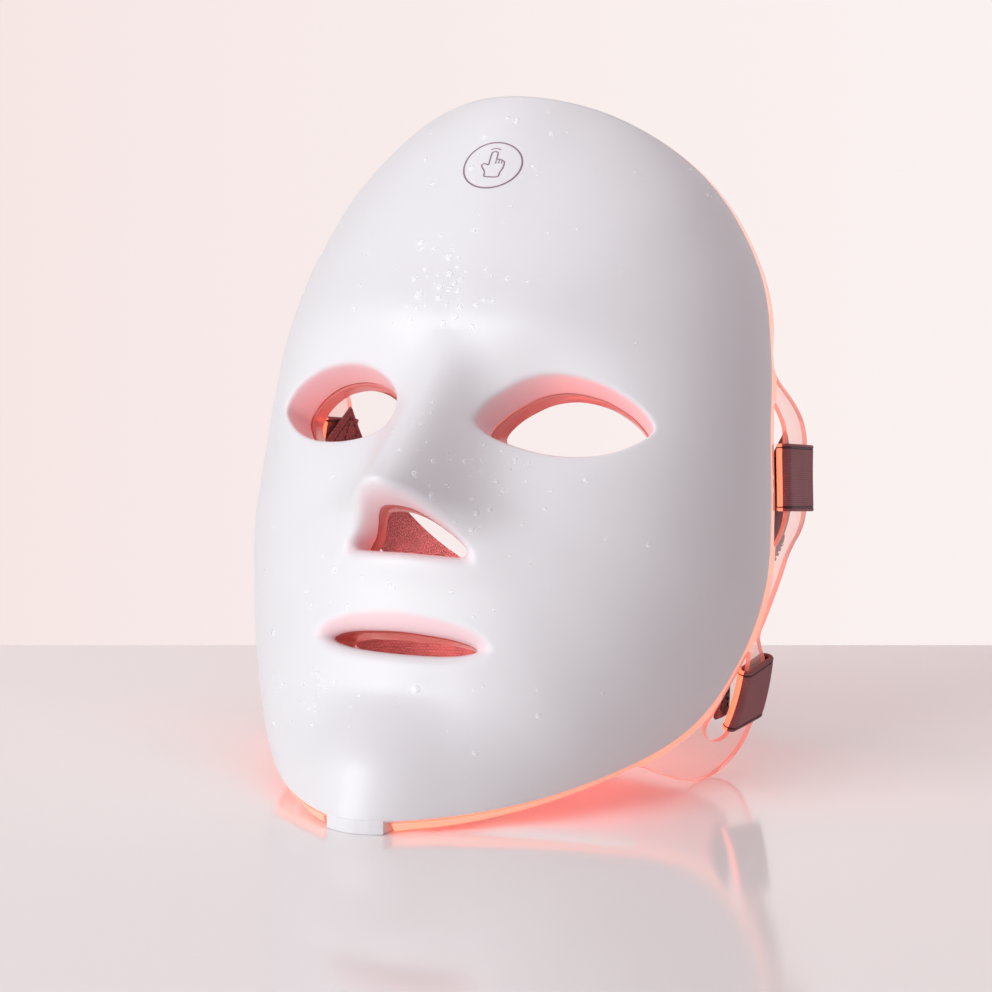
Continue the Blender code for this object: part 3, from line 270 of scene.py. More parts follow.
def surface_normal(place, flat, step):
    """Outward normal; points at or behind the rim take it from just inside the rim."""
    reach = np.hypot(flat[:, 0], flat[:, 1])
    flat = flat * np.minimum(1, (rim_radius(flat) - 1.0) / np.maximum(reach, 1e-9))[:, None]
    across = place(flat + [step, 0]) - place(flat - [step, 0])
    upward = place(flat + [0, step]) - place(flat - [0, step])
    return unit(np.cross(across, upward))


def level(flat, depth):
    """Point a given depth below the outer surface."""
    points = dome(flat) - surface_normal(dome, flat, 0.4) * np.reshape(depth, (-1, 1))
    points[:, 1] -= relief(points[:, 0], points[:, 2])
    return points


def level_normal(flat, depth):
    return surface_normal(lambda at: level(at, depth), flat, 0.5)


def pattern(front):
    """Pattern point of a front-view point (x, z) on the dome."""
    front = np.asarray(front, float)
    radius, wrap = radius_and_wrap(front)
    reach = np.hypot(front[:, 0], front[:, 1])
    turn = np.arcsin(np.clip(reach / radius * np.sin(wrap), 0, np.sin(wrap)))
    rolled = radius * turn / np.sin(wrap) / np.maximum(reach, 1e-9)
    return front * np.where(reach > 1e-9, rolled, 1.0)[:, None]


def rest(points):
    """Face frame to resting frame, still in millimetres."""
    x, y, z = np.moveaxis(np.asarray(points, float), -1, 0)
    cos, sin = math.cos(LEAN_BACK), math.sin(LEAN_BACK)
    return np.stack([x, y * cos + z * sin + SET_BACK, -y * sin + z * cos + LIFT], -1)


def jacobian(place, at, step):
    """How a placed point moves with each of its two coordinates."""
    moves = [(place(at + d) - place(at - d))[0] for d in step * np.eye(2)]
    return np.stack(moves, -1) / (2 * step)


# ---- curves ----
def both_sides(half):
    """Close a half outline, drawn from top to bottom at x >= 0, over x < 0."""
    return list(half) + [(-x, z) for x, z in reversed(half) if x > 1e-6]


def grow(loop, by):
    """Widen a closed loop by the same amount on each side of its middle."""
    low, high = loop.min(0), loop.max(0)
    mid, half = (low + high) / 2, (high - low) / 2
    return mid + (loop - mid) * (half + by) / half


def mirrored(loop):
    return loop[::-1] * [-1, 1]


def rim_angle(z):
    """Direction (radians, wearer's left side) in which the rim has height z."""
    turn = np.linspace(-math.pi / 2, math.pi / 2, 721)
    ring = np.stack([np.cos(turn), np.sin(turn)], -1)
    return np.interp(z, np.sin(turn) * by_direction(RADIUS, direction(ring)), turn)


def at_angle(turn, distance):
    """Pattern points at a direction in radians and a distance behind the rim."""
    turn, distance = np.broadcast_arrays(np.atleast_1d(turn), np.atleast_1d(distance))
    ring = np.stack([np.cos(turn), np.sin(turn)], -1)
    return ring * (rim_radius(ring) + distance)[:, None]


def past_rim(places):
    """Pattern points of rim places."""
    places = np.asarray(places, float)
    return at_angle(rim_angle(places[:, 0]), places[:, 1])


def rim_loop(count, distance):
    turn = np.linspace(-math.pi, math.pi, count, endpoint=False) + math.pi / count
    return at_angle(turn, distance)


def travelled(line):
    """Distance run along a polyline at each of its points."""
    return np.concatenate([[0], np.cumsum(np.linalg.norm(np.diff(line, axis=0), axis=1))])


def evenly(line, count, closed=False):
    """Points evenly spaced along a polyline of any dimension."""
    run = travelled(line)
    at = np.linspace(0, run[-1], count, endpoint=not closed)
    return np.stack([np.interp(at, run, column) for column in line.T], -1)


def smooth_loop(points, count, closed=True, fine=40):
    """Catmull-Rom curve through points, resampled evenly."""
    points = np.array(points, float)
    total = len(points)
    curve = []
    for i in range(total if closed else total - 1):
        near = np.arange(i - 1, i + 3)
        a, b, c, d = points[near % total if closed else np.clip(near, 0, total - 1)]
        for t in np.linspace(0, 1, fine, endpoint=False):
            curve.append(0.5 * (2 * b + (c - a) * t + (2 * a - 5 * b + 4 * c - d) * t * t
                                + (3 * b - a - 3 * c + d) * t**3))
    curve.append(points[0] if closed else points[-1])
    return evenly(np.array(curve), count, closed)


def offset(loop, by):
    """Move a closed loop inwards by a distance that may differ at each point."""
    x, y = loop[:, 0], loop[:, 1]
    area = 0.5 * np.sum(x * np.roll(y, -1) - y * np.roll(x, -1))
    along = unit(np.roll(loop, -1, 0) - np.roll(loop, 1, 0))
    inward = np.stack([-along[:, 1], along[:, 0]], -1) * np.sign(area)
    return loop + inward * np.reshape(by, (-1, 1))


def inside(loop, points):
    hit = np.zeros(len(points), bool)
    x0, y0 = loop[-1]
    for x1, y1 in loop:
        crosses = (y1 > points[:, 1]) != (y0 > points[:, 1])
        rise = np.where(abs(y0 - y1) < 1e-12, 1e-12, y0 - y1)
        hit ^= crosses & (points[:, 0] < (x0 - x1) * (points[:, 1] - y1) / rise + x1)
        x0, y0 = x1, y1
    return hit


def filler(step, fine, fine_box):
    """Triangular grid of points, closer together inside fine_box."""
    def grid(pitch):
        rows = np.arange(-190, 190, pitch * 0.866)
        return np.array([(x + (pitch / 2 if i % 2 else 0), z) for i, z in enumerate(rows)
                         for x in np.arange(-190, 190, pitch)])

    def in_box(at):
        return (at[:, 0] > x0) & (at[:, 0] < x1) & (at[:, 1] > z0) & (at[:, 1] < z1)
    x0, z0, x1, z1 = fine_box
    coarse, close = grid(step), grid(fine)
    return np.concatenate([coarse[~in_box(coarse)], close[in_box(close)]])


def triangulate(outer, holes, grid, ridges, clear):
    """Triangles between an outer loop and its holes; ridges are open lines.

    Grid points nearer than clear to a line are left out. Returns the points, the
    triangles, and the range of points that each line has.
    """
    lines = [outer] + list(holes) + list(ridges)
    points, open_from = np.concatenate(lines), 1 + len(holes)
    keep = inside(outer, grid)
    for hole in holes:
        keep &= ~inside(hole, grid)
    grid = grid[keep]
    tree = KDTree(len(points))
    for i, (x, z) in enumerate(points):
        tree.insert((x, z, 0), i)
    tree.balance()
    grid = grid[np.array([tree.find((x, z, 0))[2] > clear for x, z in grid])]
    points = np.concatenate([points, grid])
    edges, spans, start = [], [], 0
    for k, line in enumerate(lines):
        count = len(line)
        edges += [(start + i, start + (i + 1) % count)
                  for i in range(count if k < open_from else count - 1)]
        spans.append(range(start, start + count))
        start += count
    result = delaunay_2d_cdt([Vector(point) for point in points], edges, [], 0, 1e-6)
    source = [min(origin) if origin else -1 for origin in result[3]]
    tris = np.array([[source[i] for i in face] for face in result[2]])
    tris = tris[(tris >= 0).all(1)]
    middle = points[tris].mean(1)
    keep = inside(outer, middle)
    for hole in holes:
        keep &= ~inside(hole, middle)
    return points, tris[keep], spans


# ---- mesh building ----
def add_object(name, data):
    ob = bpy.data.objects.new(name, data)
    bpy.context.scene.collection.objects.link(ob)
    return ob


def settle(ob, rides="mask", replaces=()):
    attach(ob, rides)
    if replaces:
        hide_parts(*replaces)


class Body:
    """Points in mm, faces, and three shading numbers a point, called info."""

    def __init__(self):
        self.points, self.info, self.faces, self.slots = [], [], [], []
        self.slot = 0

    def add(self, points, info=NO_INFO):
        points = np.asarray(points, float)
        first = len(self.points)
        self.points += points.tolist()
        columns = [np.broadcast_to(column, (len(points),)) for column in info]
        self.info += np.stack(columns, -1).tolist()
        return list(range(first, first + len(points)))

    def face(self, corners):
        self.faces.append(tuple(int(i) for i in corners))
        self.slots.append(self.slot)

    def loft(self, rings, closed=True, capped=False):
        """Join rings of equal length, one to the next."""
        for one, two in zip(rings, rings[1:]):
            count = len(one)
            for i in range(count if closed else count - 1):
                j = (i + 1) % count
                self.face((one[i], one[j], two[j], two[i]))
        if capped:
            self.face(rings[0][::-1])
            self.face(rings[-1])

    def sheet(self, place, outer, holes, grid, clear, ridges=(), flip=False):
        """Triangulated skin; place gives points and info. Returns its lines' points."""
        flat, tris, spans = triangulate(outer, holes, grid, ridges, clear)
        index = np.array(self.add(*place(flat)))
        for face in index[tris[:, ::-1] if flip else tris]:
            self.face(face)
        return [index[list(span)] for span in spans]

    def make(self, name, *materials, resting=False, sharp=40.0):
        points = np.array(self.points)
        points = (points if resting else rest(points)) * MM
        mesh = bpy.data.meshes.new(name)
        mesh.from_pydata(points.tolist(), [], self.faces)
        info = mesh.attributes.new("info", "FLOAT_VECTOR", "POINT")
        info.data.foreach_set("vector", np.array(self.info, np.float32).ravel())
        for material in materials:
            mesh.materials.append(material)
        mesh.polygons.foreach_set("material_index", self.slots)
        bm = bmesh.new()
        bm.from_mesh(mesh)
        loose = [v for v in bm.verts if not v.link_faces]
        bmesh.ops.delete(bm, geom=loose, context="VERTS")
        bmesh.ops.recalc_face_normals(bm, faces=bm.faces)
        bm.to_mesh(mesh)
        bm.free()
        mesh.shade_smooth()
        if sharp:
            mesh.set_sharp_from_angle(angle=math.radians(sharp))
        return add_object(name, mesh)

    def build(self, name, slot, *materials, rides="mask", replaces=(), **options):
        settle(self.make(name, *materials, **options), rides, replaces)


def frame_at(centre, out):
    """Seat frame: centre, right, up, out."""
    up = unit(np.array([0, 0, 1.0]) - out * out[2])
    return centre, np.cross(up, out), up, out


def seat(x, z, depth):
    """Seat frame on the surface at a front-view point."""
    flat = pattern([(x, z)])
    return frame_at(level(flat, depth)[0], level_normal(flat, depth)[0])


def through(x, z):
    """Seat frame whose axis runs from the outer surface straight to the liner."""
    flat = pattern([(x, z)])
    front = level(flat, 0.0)[0]
    return frame_at(front, unit(front - level(flat, LINER_LEVEL + LINER_WALL)[0]))


def box_at(body, frame, low, high):
    centre, right, up, out = frame
    rings = [body.add([centre + right * x + up * y + out * z for x, y in
                       ((low[0], low[1]), (high[0], low[1]), (high[0], high[1]), (low[0], high[1]))])
             for z in (low[2], high[2])]
    body.loft(rings, capped=True)


def turned(body, frame, profile, sides, info=NO_INFO):
    """Turn a (radius, out) profile, which starts and ends on the axis, round out."""
    centre, right, up, out = frame
    turns = np.linspace(0, 2 * math.pi, sides, endpoint=False)
    rings = []
    for radius, height in profile:
        spokes = [right * math.cos(t) + up * math.sin(t) for t in turns]
        ring = [centre + spoke * radius + out * height for spoke in spokes]
        rings.append(body.add(ring if radius > 1e-6 else [centre + out * height], info))
    for one, two in zip(rings, rings[1:]):
        if len(one) == len(two):
            body.loft([one, two])
            continue
        tip, ring = sorted((one, two), key=len)
        for i in range(sides):
            body.face((tip[0], ring[i], ring[(i + 1) % sides]))


def tube(body, path, radius, sides, ref=(0.3, -0.8, 0.52), taper=0.0):
    """Round wire along a path; taper rounds its ends over that length."""
    ref = np.array(ref, float)
    run = travelled(path)
    turns = np.linspace(0, 2 * math.pi, sides, endpoint=False)
    rings = []
    for point, along, at in zip(path, unit(np.gradient(path, axis=0)), run):
        ref = unit(ref - along * (ref @ along))
        girth = 1.0
        if taper:
            near = min(at, run[-1] - at)
            girth = math.sqrt(max(0.02, 1 - max(0.0, 1 - near / taper) ** 2))
        ring = np.outer(np.cos(turns), ref) + np.outer(np.sin(turns), np.cross(along, ref))
        rings.append(body.add(point + ring * radius * girth, (at, turns, 0)))
    body.loft(rings, capped=True)


def cut(ob, tool):
    """Subtract the tool from an object and discard the tool."""
    mod = ob.modifiers.new("difference", "BOOLEAN")
    mod.operation = "DIFFERENCE"
    mod.solver = "EXACT"
    mod.object = tool
    graph = bpy.context.evaluated_depsgraph_get()
    mesh = bpy.data.meshes.new_from_object(ob.evaluated_get(graph),
                                           preserve_all_data_layers=True, depsgraph=graph)
    ob.modifiers.clear()
    ob.data = mesh
    bpy.data.objects.remove(tool, do_unlink=True)


def resharpen(ob, angle):
    ob.data.shade_smooth()
    ob.data.set_sharp_from_angle(angle=math.radians(angle))


# ---- shading ----
class Nodes:
    """Wires up a node tree; an input value may be a socket, number or RGB."""

    def __init__(self, tree):
        self.tree = tree
        tree.nodes.clear()

    def set(self, node, key, value):
        socket = node.inputs[key]
        if isinstance(value, bpy.types.NodeSocket):
            self.tree.links.new(value, socket)
        else:
            socket.default_value = (*value, 1) if isinstance(value, tuple) else value

    def new(self, kind, inputs={}, **settings):
        node = self.tree.nodes.new("ShaderNode" + kind)
        for name, value in settings.items():
            setattr(node, name, value)
        for key, value in inputs.items():
            self.set(node, key, value)
        return node

    def split(self, vector):
        return self.new("SeparateXYZ", {0: vector}).outputs

    def mix(self, share, first, second):
        inputs = {0: share, 6: first, 7: second}
        return self.new("Mix", inputs, data_type="RGBA").outputs[2]

    def blend(self, share, first, second):
        return self.new("MixShader", {0: share, 1: first, 2: second}).outputs[0]


class Look(Nodes):
    """Principled material; keyword names are its inputs with _ for spaces."""

    def __init__(self, name, **values):
        self.material = bpy.data.materials.new(name)
        self.material.use_nodes = True
        super().__init__(self.material.node_tree)
        self.output = self.new("OutputMaterial")
        self.shader = self.new("BsdfPrincipled")
        self.set(self.output, 0, self.shader.outputs[0])
        self.put(**values)

    def put(self, **values):
        for name, value in values.items():
            self.set(self.shader, name.replace("_", " "), value)

    def math(self, operation, one, two=0.0):
        return self.new("Math", {0: one, 1: two, 2: 0.0}, operation=operation).outputs[0]

    def times(self, one, two):
        return self.math("MULTIPLY", one, two)

    def ramp(self, value, span, to=(0.0, 1.0), kind="SMOOTHSTEP"):
        inputs = dict(enumerate((value, *span, *to)))
        return self.new("MapRange", inputs, interpolation_type=kind).outputs[0]

    def info(self):
        return self.split(self.new("Attribute", attribute_name="info").outputs["Vector"])

    def place(self):
        return self.new("TexCoord").outputs["Object"]

    def noise(self, scale, detail=2.0):
        return self.new("TexNoise", {"Vector": self.place(), "Scale": scale, "Detail": detail,
                                     "Roughness": 0.5}).outputs[0]

    def bump(self, height, distance, strength):
        return self.new("Bump", {"Height": height, "Distance": distance,
                                 "Strength": strength}).outputs[0]

    def see_through(self, clear, tint, gloss):
        """Let a share of tinted clear show through, under a glossy film."""
        pane = self.new("BsdfTransparent", {0: tint}).outputs[0]
        body = self.blend(clear, self.shader.outputs[0], pane)
        film = self.new("BsdfGlossy", {"Roughness": 0.06}).outputs[0]
        fresnel = self.new("Fresnel", {"IOR": 1.45}).outputs[0]
        self.set(self.output, 0, self.blend(self.times(fresnel, gloss), body, film))


def grey(value):
    return (value,) * 3


def shell_look():
    """Glossy white moulding; info.x is how far the red light tints it."""
    look = Look("shell_white", Roughness=0.42, Coat_Weight=0.14, Coat_Roughness=0.24,
                Specular_IOR_Level=0.36)
    # pink: share of painted red glow, the lamps' light shown as pink colour and a faint emission on
    # the white shell
    pink = look.info()[0]
    cloud = look.noise(scale=22.0)
    white = look.mix(cloud, (0.775, 0.78, 0.80), (0.82, 0.825, 0.845))
    look.put(Base_Color=look.mix(pink, white, (0.85, 0.65, 0.68)),
             Roughness=look.ramp(cloud, span=(0.2, 0.8), to=(0.38, 0.46), kind="LINEAR"),
             Emission_Color=(1.0, 0.42, 0.42),
             Emission_Strength=look.times(look.math("POWER", pink, 1.2), 0.05),
             Normal=look.bump(look.noise(scale=900.0, detail=3.0),
                              distance=0.00004, strength=0.12))
    return look.material


def liner_look():
    """Clear plastic that carries red light, painted into its colour and emission: glowing rim band,
    red glow within.

    info is the distance behind the rim, 1 on edges, and 1 or 0.5 in an opening.
    """
    look = Look("liner_clear", Roughness=0.16, Coat_Weight=0.4, Coat_Roughness=0.05)
    mix, ramp = look.mix, look.ramp
    distance, edge, opening = look.info()
    collar = look.times(edge, ramp(opening, span=(0.2, 0.4)))
    ear = ramp(distance, span=(4.7, 5.3))
    inner = ramp(distance, span=(-4.0, -11.0))
    # rim band: its coral is painted red glow, the lamps' light carried out by the clear plastic
    band = (1.0, 0.44, 0.32)
    # painted red glow on the inner wall, with random tone
    inside_red_glow = mix(look.noise(scale=38.0, detail=3.0), (0.84, 0.36, 0.33), (0.90, 0.44, 0.40))
    # collar walls in the openings: painted red glow, darker as painted shade in nose and mouth
    throat_glow_and_shade = mix(ramp(opening, span=(0.6, 0.9)), (0.46, 0.125, 0.11), (0.60, 0.225, 0.21))
    glow = look.times(ramp(distance, span=(-9.0, -1.5), to=(0.05, 0.66)),
                      ramp(ear, span=(0, 1), to=(1.0, 0.85)))
    glow_colour = mix(inner, (1.0, 0.37, 0.23), (0.9, 0.15, 0.12))
    look.put(
        Base_Color=mix(collar, mix(ear, mix(inner, band, inside_red_glow), (1.0, 0.80, 0.78)), throat_glow_and_shade),
        # painted glow: coral near the rim, pale pink in the ears
        Emission_Color=mix(ear, glow_colour, (1.0, 0.66, 0.60)),
        Emission_Strength=mix(collar, glow, grey(0.10)),
        Normal=look.bump(look.noise(scale=700.0), distance=0.00003, strength=0.15))
    on_face = mix(inner, grey(0.10), grey(0.82))
    look.see_through(clear=mix(collar, mix(ear, on_face, grey(0.90)), grey(0.05)),
                     tint=mix(ear, (1.0, 0.60, 0.55), (1.0, 0.89, 0.875)),
                     gloss=ramp(ear, span=(0, 1), to=(0.45, 0.16)))
    return look.material


def liner_edge_look():
    """Cut edge of the liner, where the red light leaves it."""
    look = Look("liner_edge", Roughness=0.25, Emission_Color=(1.0, 0.20, 0.12),
                Emission_Strength=0.42)
    look.put(Base_Color=look.mix(look.noise(scale=60.0), (1.0, 0.36, 0.28), (1.0, 0.46, 0.36)))
    look.see_through(clear=0.35, tint=(1.0, 0.7, 0.66), gloss=0.3)
    return look.material


def woven(name, dark, light, pitch=0.62, pick=0.9, lit=None, hem=None):
    """Woven elastic: info is mm along the band, mm across it, and a flag.

    Pitch and pick are the thread spacings across and along. The flag is 1 on the
    hem, darkened towards a near-black colour as painted shade along its groove, and -1
    where the cloth is painted as lit by the liner's red light, coral with a glow of strength lit.
    """
    look = Look(name, Roughness=0.85, Sheen_Weight=0.35, Sheen_Roughness=0.4,
                Sheen_Tint=(0.8, 0.55, 0.56))
    math_, times, ramp = look.math, look.times, look.ramp
    along, across, flag = look.info()

    def thread(at, power):
        """Rounded height of a thread, once each unit of at."""
        centred = math_("SUBTRACT", math_("FRACT", at), 0.5)
        wave = math_("COSINE", times(centred, math.pi))
        return math_("POWER", math_("MAXIMUM", wave, 0.001), power)
    row = math_("DIVIDE", across, pitch)
    column = math_("ADD", math_("DIVIDE", along, pick), times(math_("FLOOR", row), 0.5))
    knot = times(thread(row, 0.6), thread(column, 0.5))
    fibre = look.noise(scale=5200.0)
    worn = math_("ADD", fibre, look.noise(scale=160.0, detail=3.0))
    shade = times(ramp(knot, span=(0.0, 1.0), to=(0.55, 1.0)),
                  ramp(worn, span=(0.7, 1.3), to=(0.72, 1.0)))
    colour = look.mix(shade, dark, light)
    # painted shade: the hem groove is darkened towards the near-black hem colour
    if hem:
        on_hem = times(ramp(flag, span=(0.4, 0.6)), 0.85)
        colour = look.mix(on_hem, colour, hem)
    # painted red light: the cloth next to the shell turns coral and glows
    if lit:
        glows = ramp(flag, span=(-0.4, -0.6))
        colour = look.mix(glows, colour, (1.0, 0.34, 0.23))
        look.put(Emission_Color=(1.0, 0.20, 0.10), Emission_Strength=times(glows, lit))
    height = math_("ADD", knot, times(fibre, 0.35))
    look.put(Base_Color=colour, Normal=look.bump(height, distance=0.00010, strength=0.9))
    return look.material


def plain(name, colour, other, rough, cloud=60.0, grain=900.0, depth=0.00003, strength=0.2,
          **values):
    """Moulded or printed finish: slow colour variation and a fine grain.

    Cloud and grain are noise scales; depth and strength shape the grain's bump.
    """
    look = Look(name, **values)
    clouds = look.noise(scale=cloud, detail=3.0)
    look.put(Base_Color=look.mix(clouds, colour, other),
             Roughness=look.ramp(clouds, span=(0.25, 0.75), to=(rough * 0.85, rough * 1.2),
                                 kind="LINEAR"),
             Normal=look.bump(look.noise(scale=grain, detail=3.0), depth, strength))
    return look.material


def lamp_look():
    look = Look("lamp_dome", Roughness=0.1, Coat_Weight=0.6)
    up = look.info()[0]
    look.put(Base_Color=look.mix(up, (1.0, 0.25, 0.16), (1.0, 0.55, 0.35)),
             Emission_Color=look.mix(up, (1.0, 0.07, 0.03), (1.0, 0.30, 0.16)),
             Emission_Strength=look.ramp(up, span=(0.0, 1.0), to=(5.0, 16.0)))
    return look.material


def board_look(name, mask, trace, pitch):
    """Printed board: solder mask, faint tracks under it, tiny vias."""
    look = Look(name, Roughness=0.42, Coat_Weight=0.3)
    place = look.place()
    jog = look.times(look.math("FLOOR", look.times(look.noise(scale=40.0, detail=1.0), 6.0)), 0.23)
    across = look.math("DIVIDE", look.split(place)[0], pitch)
    line = look.math("FRACT", look.math("ADD", across, jog))
    track = look.times(look.ramp(line, span=(0.34, 0.38)), look.ramp(line, span=(0.66, 0.62)))
    cells = look.new("TexVoronoi", {"Vector": place, "Scale": 230.0})
    via = look.ramp(cells.outputs[0], span=(0.10, 0.07))
    tracks = look.mix(look.times(track, 0.6), mask, trace)
    look.put(Base_Color=look.mix(via, tracks, (0.75, 0.60, 0.35)),
             Normal=look.bump(look.math("ADD", track, via), distance=0.00004, strength=0.6))
    return look.material


SHELL = shell_look()
LINER = liner_look()
LINER_EDGE = liner_edge_look()
# lit gives the painted red light on the cloth by the shell; the hem colour is painted shade in the
# hem grooves
FABRIC = woven("strap_woven", (0.09, 0.030, 0.034), (0.37, 0.148, 0.16), lit=1.35,
               hem=(0.022, 0.008, 0.010))
BAND_CLOTH = woven("strap_band", (0.07, 0.023, 0.026), (0.28, 0.118, 0.128), pitch=0.95,
                   pick=1.25, hem=(0.030, 0.010, 0.012))
TAPE = woven("hook_tape", (0.012, 0.008, 0.009), (0.055, 0.038, 0.042), pitch=0.5, pick=0.7)
HOOKS = plain("hook_plastic", (0.03, 0.02, 0.022), (0.06, 0.045, 0.05), rough=0.4)
THREAD = plain("thread", (0.035, 0.012, 0.015), (0.075, 0.030, 0.034), rough=0.8,
               grain=4000.0, depth=0.00005, strength=0.8, Sheen_Weight=0.4)
STEEL = plain("steel", (0.50, 0.49, 0.50), (0.66, 0.65, 0.66), rough=0.26, Metallic=1.0,
              cloud=300.0, grain=2500.0, depth=0.00002, strength=0.25)
COPPER = plain("copper", (0.72, 0.34, 0.20), (0.82, 0.45, 0.28), rough=0.3, Metallic=1.0,
               cloud=200.0)
GOLD = plain("gold_pads", (0.85, 0.58, 0.22), (0.93, 0.68, 0.30), rough=0.22, Metallic=1.0)
DARK = plain("dark_plastic", (0.022, 0.022, 0.026), (0.045, 0.043, 0.048), rough=0.42)
FOIL = plain("cell_foil", (0.55, 0.56, 0.58), (0.74, 0.74, 0.76), rough=0.32, Metallic=0.9,
             cloud=90.0, grain=260.0, depth=0.00025, strength=0.5)
FOAM = plain("foam", (0.03, 0.03, 0.035), (0.08, 0.08, 0.09), rough=0.95,
             cloud=400.0, grain=1800.0, depth=0.00025, strength=1.0)
WIRE = plain("wire_red", (0.42, 0.025, 0.02), (0.60, 0.05, 0.04), rough=0.36, cloud=120.0,
             Coat_Weight=0.25)
AMBER = plain("ribbon_amber", (0.62, 0.26, 0.05), (0.78, 0.38, 0.10), rough=0.3, cloud=80.0,
              Coat_Weight=0.4)
INK = plain("ink_mauve", (0.22, 0.14, 0.185), (0.33, 0.23, 0.285), rough=0.5, cloud=900.0)
BOARD = board_look("board_white", (0.86, 0.80, 0.78), (0.66, 0.58, 0.54), pitch=0.0032)
GREEN = board_look("board_green", (0.015, 0.14, 0.06), (0.05, 0.28, 0.12), pitch=0.0016)
LAMP = lamp_look()

# ---- openings: kind, side of the face, front-view loop ----
eye_loop = smooth_loop(EYE, 190)
OPENINGS = [("eye", 1, eye_loop), ("eye", -1, mirrored(eye_loop)),
            ("nose", 0, smooth_loop(both_sides(NOSE), 160)),
            ("mouth", 0, smooth_loop(both_sides(MOUTH), 190))]


def drawn(kind, side, loop, depth):
    """An opening's loop at a depth: its walls slant with depth, not along the normal."""
    across = side * np.interp(depth, [0, 9.4, 13.7], [0, 2.3, 4.4])
    drop = {"eye": np.interp(depth, [0, 9.4, 13.7], [0, -2.5, -2.7]),
            "nose": -0.07 * depth,
            "mouth": np.interp(depth, [0, 5, 13.7], [0, -1.0, -1.2])}[kind]
    return pattern(loop + [float(across), float(drop)])


# ---- white shell ----
def build_shell():
    shell = Body()
    rim = rim_loop(460, -RIM_IN)
    tops = [pattern(grow(loop, -LIP[kind][0][0])) for kind, _, loop in OPENINGS]
    front = shell.sheet(lambda at: (level(at, 0.0), NO_INFO), rim, tops,
                        filler(2.5, 1.6, (-40, -80, 40, 50)), clear=1.15)

    # painted red glow: the shell's inner face takes 0.6 of it, and the rolled rim a little as it
    # turns in
    def inner_face(at):
        return level(at, 0.0) - level_normal(at, 0.0) * SHELL_WALL, (0.6, 0, 0)
    holes = [pattern(grow(loop, 2.6)) for _, _, loop in OPENINGS]
    back = shell.sheet(inner_face, rim, holes, filler(6.5, 5.0, (-38, -78, 38, 46)),
                       clear=2.2, flip=True)
    rings = [front[0]]
    for distance, depth in ((-0.28, 0.08), (-0.08, 0.26), (0.0, 0.55), (0.0, 1.5), (-0.1, 1.82)):
        rings.append(shell.add(level(rim_loop(460, distance), depth), (depth * 0.1, 0, 0)))
    shell.loft(rings + [back[0]])
    for k, (kind, side, loop) in enumerate(OPENINGS, 1):
        share = 1.0
        # painted red glow: on the mouth it fades out towards the lower lip's edge
        if kind == "mouth":       # the lower lip's edge stays nearly white
            height = (loop[:, 1] - loop[:, 1].mean()) / (np.ptp(loop[:, 1]) / 2)
            share = np.clip(0.66 + 0.85 * height, 0.12, 1.4)
        rings = [front[k]]
        for inwards, depth, pink in LIP[kind][1:]:
            flat = drawn(kind, side, grow(loop, -inwards), depth)
            rings.append(shell.add(level(flat, depth), (pink * share, depth, 0)))
        shell.loft(rings + [back[k]])
    shell.build("shell_skin", "shell_white", SHELL, replaces=["front_shell"])


build_shell()


# ---- chin foot round the charging socket ----
def pill(width, height, count=16):
    radius = height / 2
    turns = np.radians(np.linspace(-90, 90, count))
    return [(side * (width / 2 - radius + radius * math.cos(t)), side * radius * math.sin(t))
            for side in (1, -1) for t in turns]


def build_foot():
    heights_ = np.stack([np.linspace(-109.29, -95, 60), np.zeros(60)], -1)
    rim = rest(level(past_rim(heights_), 0.0))
    front_x = np.linspace(-FOOT_W / 2, FOOT_W / 2, 41)
    front_y = np.interp(np.abs(front_x), rim[:, 0], rim[:, 1])
    rim_z = float(rim[0, 2])
    # height, setback of the front behind the rim, inset of the outline
    stations = [(0.0, 0.25, 0.45), (0.14, 0.25, 0.14), (0.45, 0.25, 0.0), (rim_z, 0.2, 0.0),
                (rim_z + 1.1, 1.27, 0.0), (rim_z + 2.2, 2.33, 0.0), (FOOT_H, 3.4, 0.0)]
    foot = Body()
    rings = []
    for z, setback, inset in stations:
        scale = 1 - inset / (FOOT_W / 2)
        corner_y = FOOT_BACK - FOOT_CORNER - inset
        half = [(FOOT_W / 2 * scale, y, z) for y in np.linspace(2.0, corner_y, 4)]
        half += [((FOOT_W / 2 - FOOT_CORNER + FOOT_CORNER * math.cos(t)) * scale,
                  corner_y + FOOT_CORNER * math.sin(t), z)
                 for t in np.linspace(0.3, math.pi / 2, 5)]
        front = [(x * scale, y + setback + inset, z) for x, y in zip(front_x, front_y)]
        rings.append(foot.add(front + half + [(-x, y, z) for x, y, z in reversed(half)]))
    foot.loft(rings)
    foot.face(rings[0])
    foot.face(rings[-1])
    chin = foot.make("chin_foot", SHELL, resting=True)
    pocket = Body()
    outline = pill(SOCKET_W + 0.7, SOCKET_H + 0.7)
    pocket.loft([pocket.add([(x, y, SOCKET_Z + height) for x, height in outline])
                 for y in (FOOT_BACK + 2, FOOT_BACK - SOCKET_L - 0.6)], capped=True)
    cut(chin, pocket.make("pocket_tool", SHELL, resting=True))
    resharpen(chin, 40)
    settle(chin)


build_foot()


# ---- clear liner ----
def liner_depth(flat):
    distance = behind(flat)
    drop = (LINER_LEVEL - LINER_EDGE_LEVEL) * ease(3, 17, -distance)
    return np.where(distance > 0.6, 0.45, LINER_EDGE_LEVEL + drop)


def liner_back(flat):
    distance = behind(flat)
    wall = EDGE_WALL + (LINER_WALL - EDGE_WALL) * ease(3, 10, -distance)
    return liner_depth(flat) + np.where(distance > 0.6, EDGE_WALL + 0.1, wall)


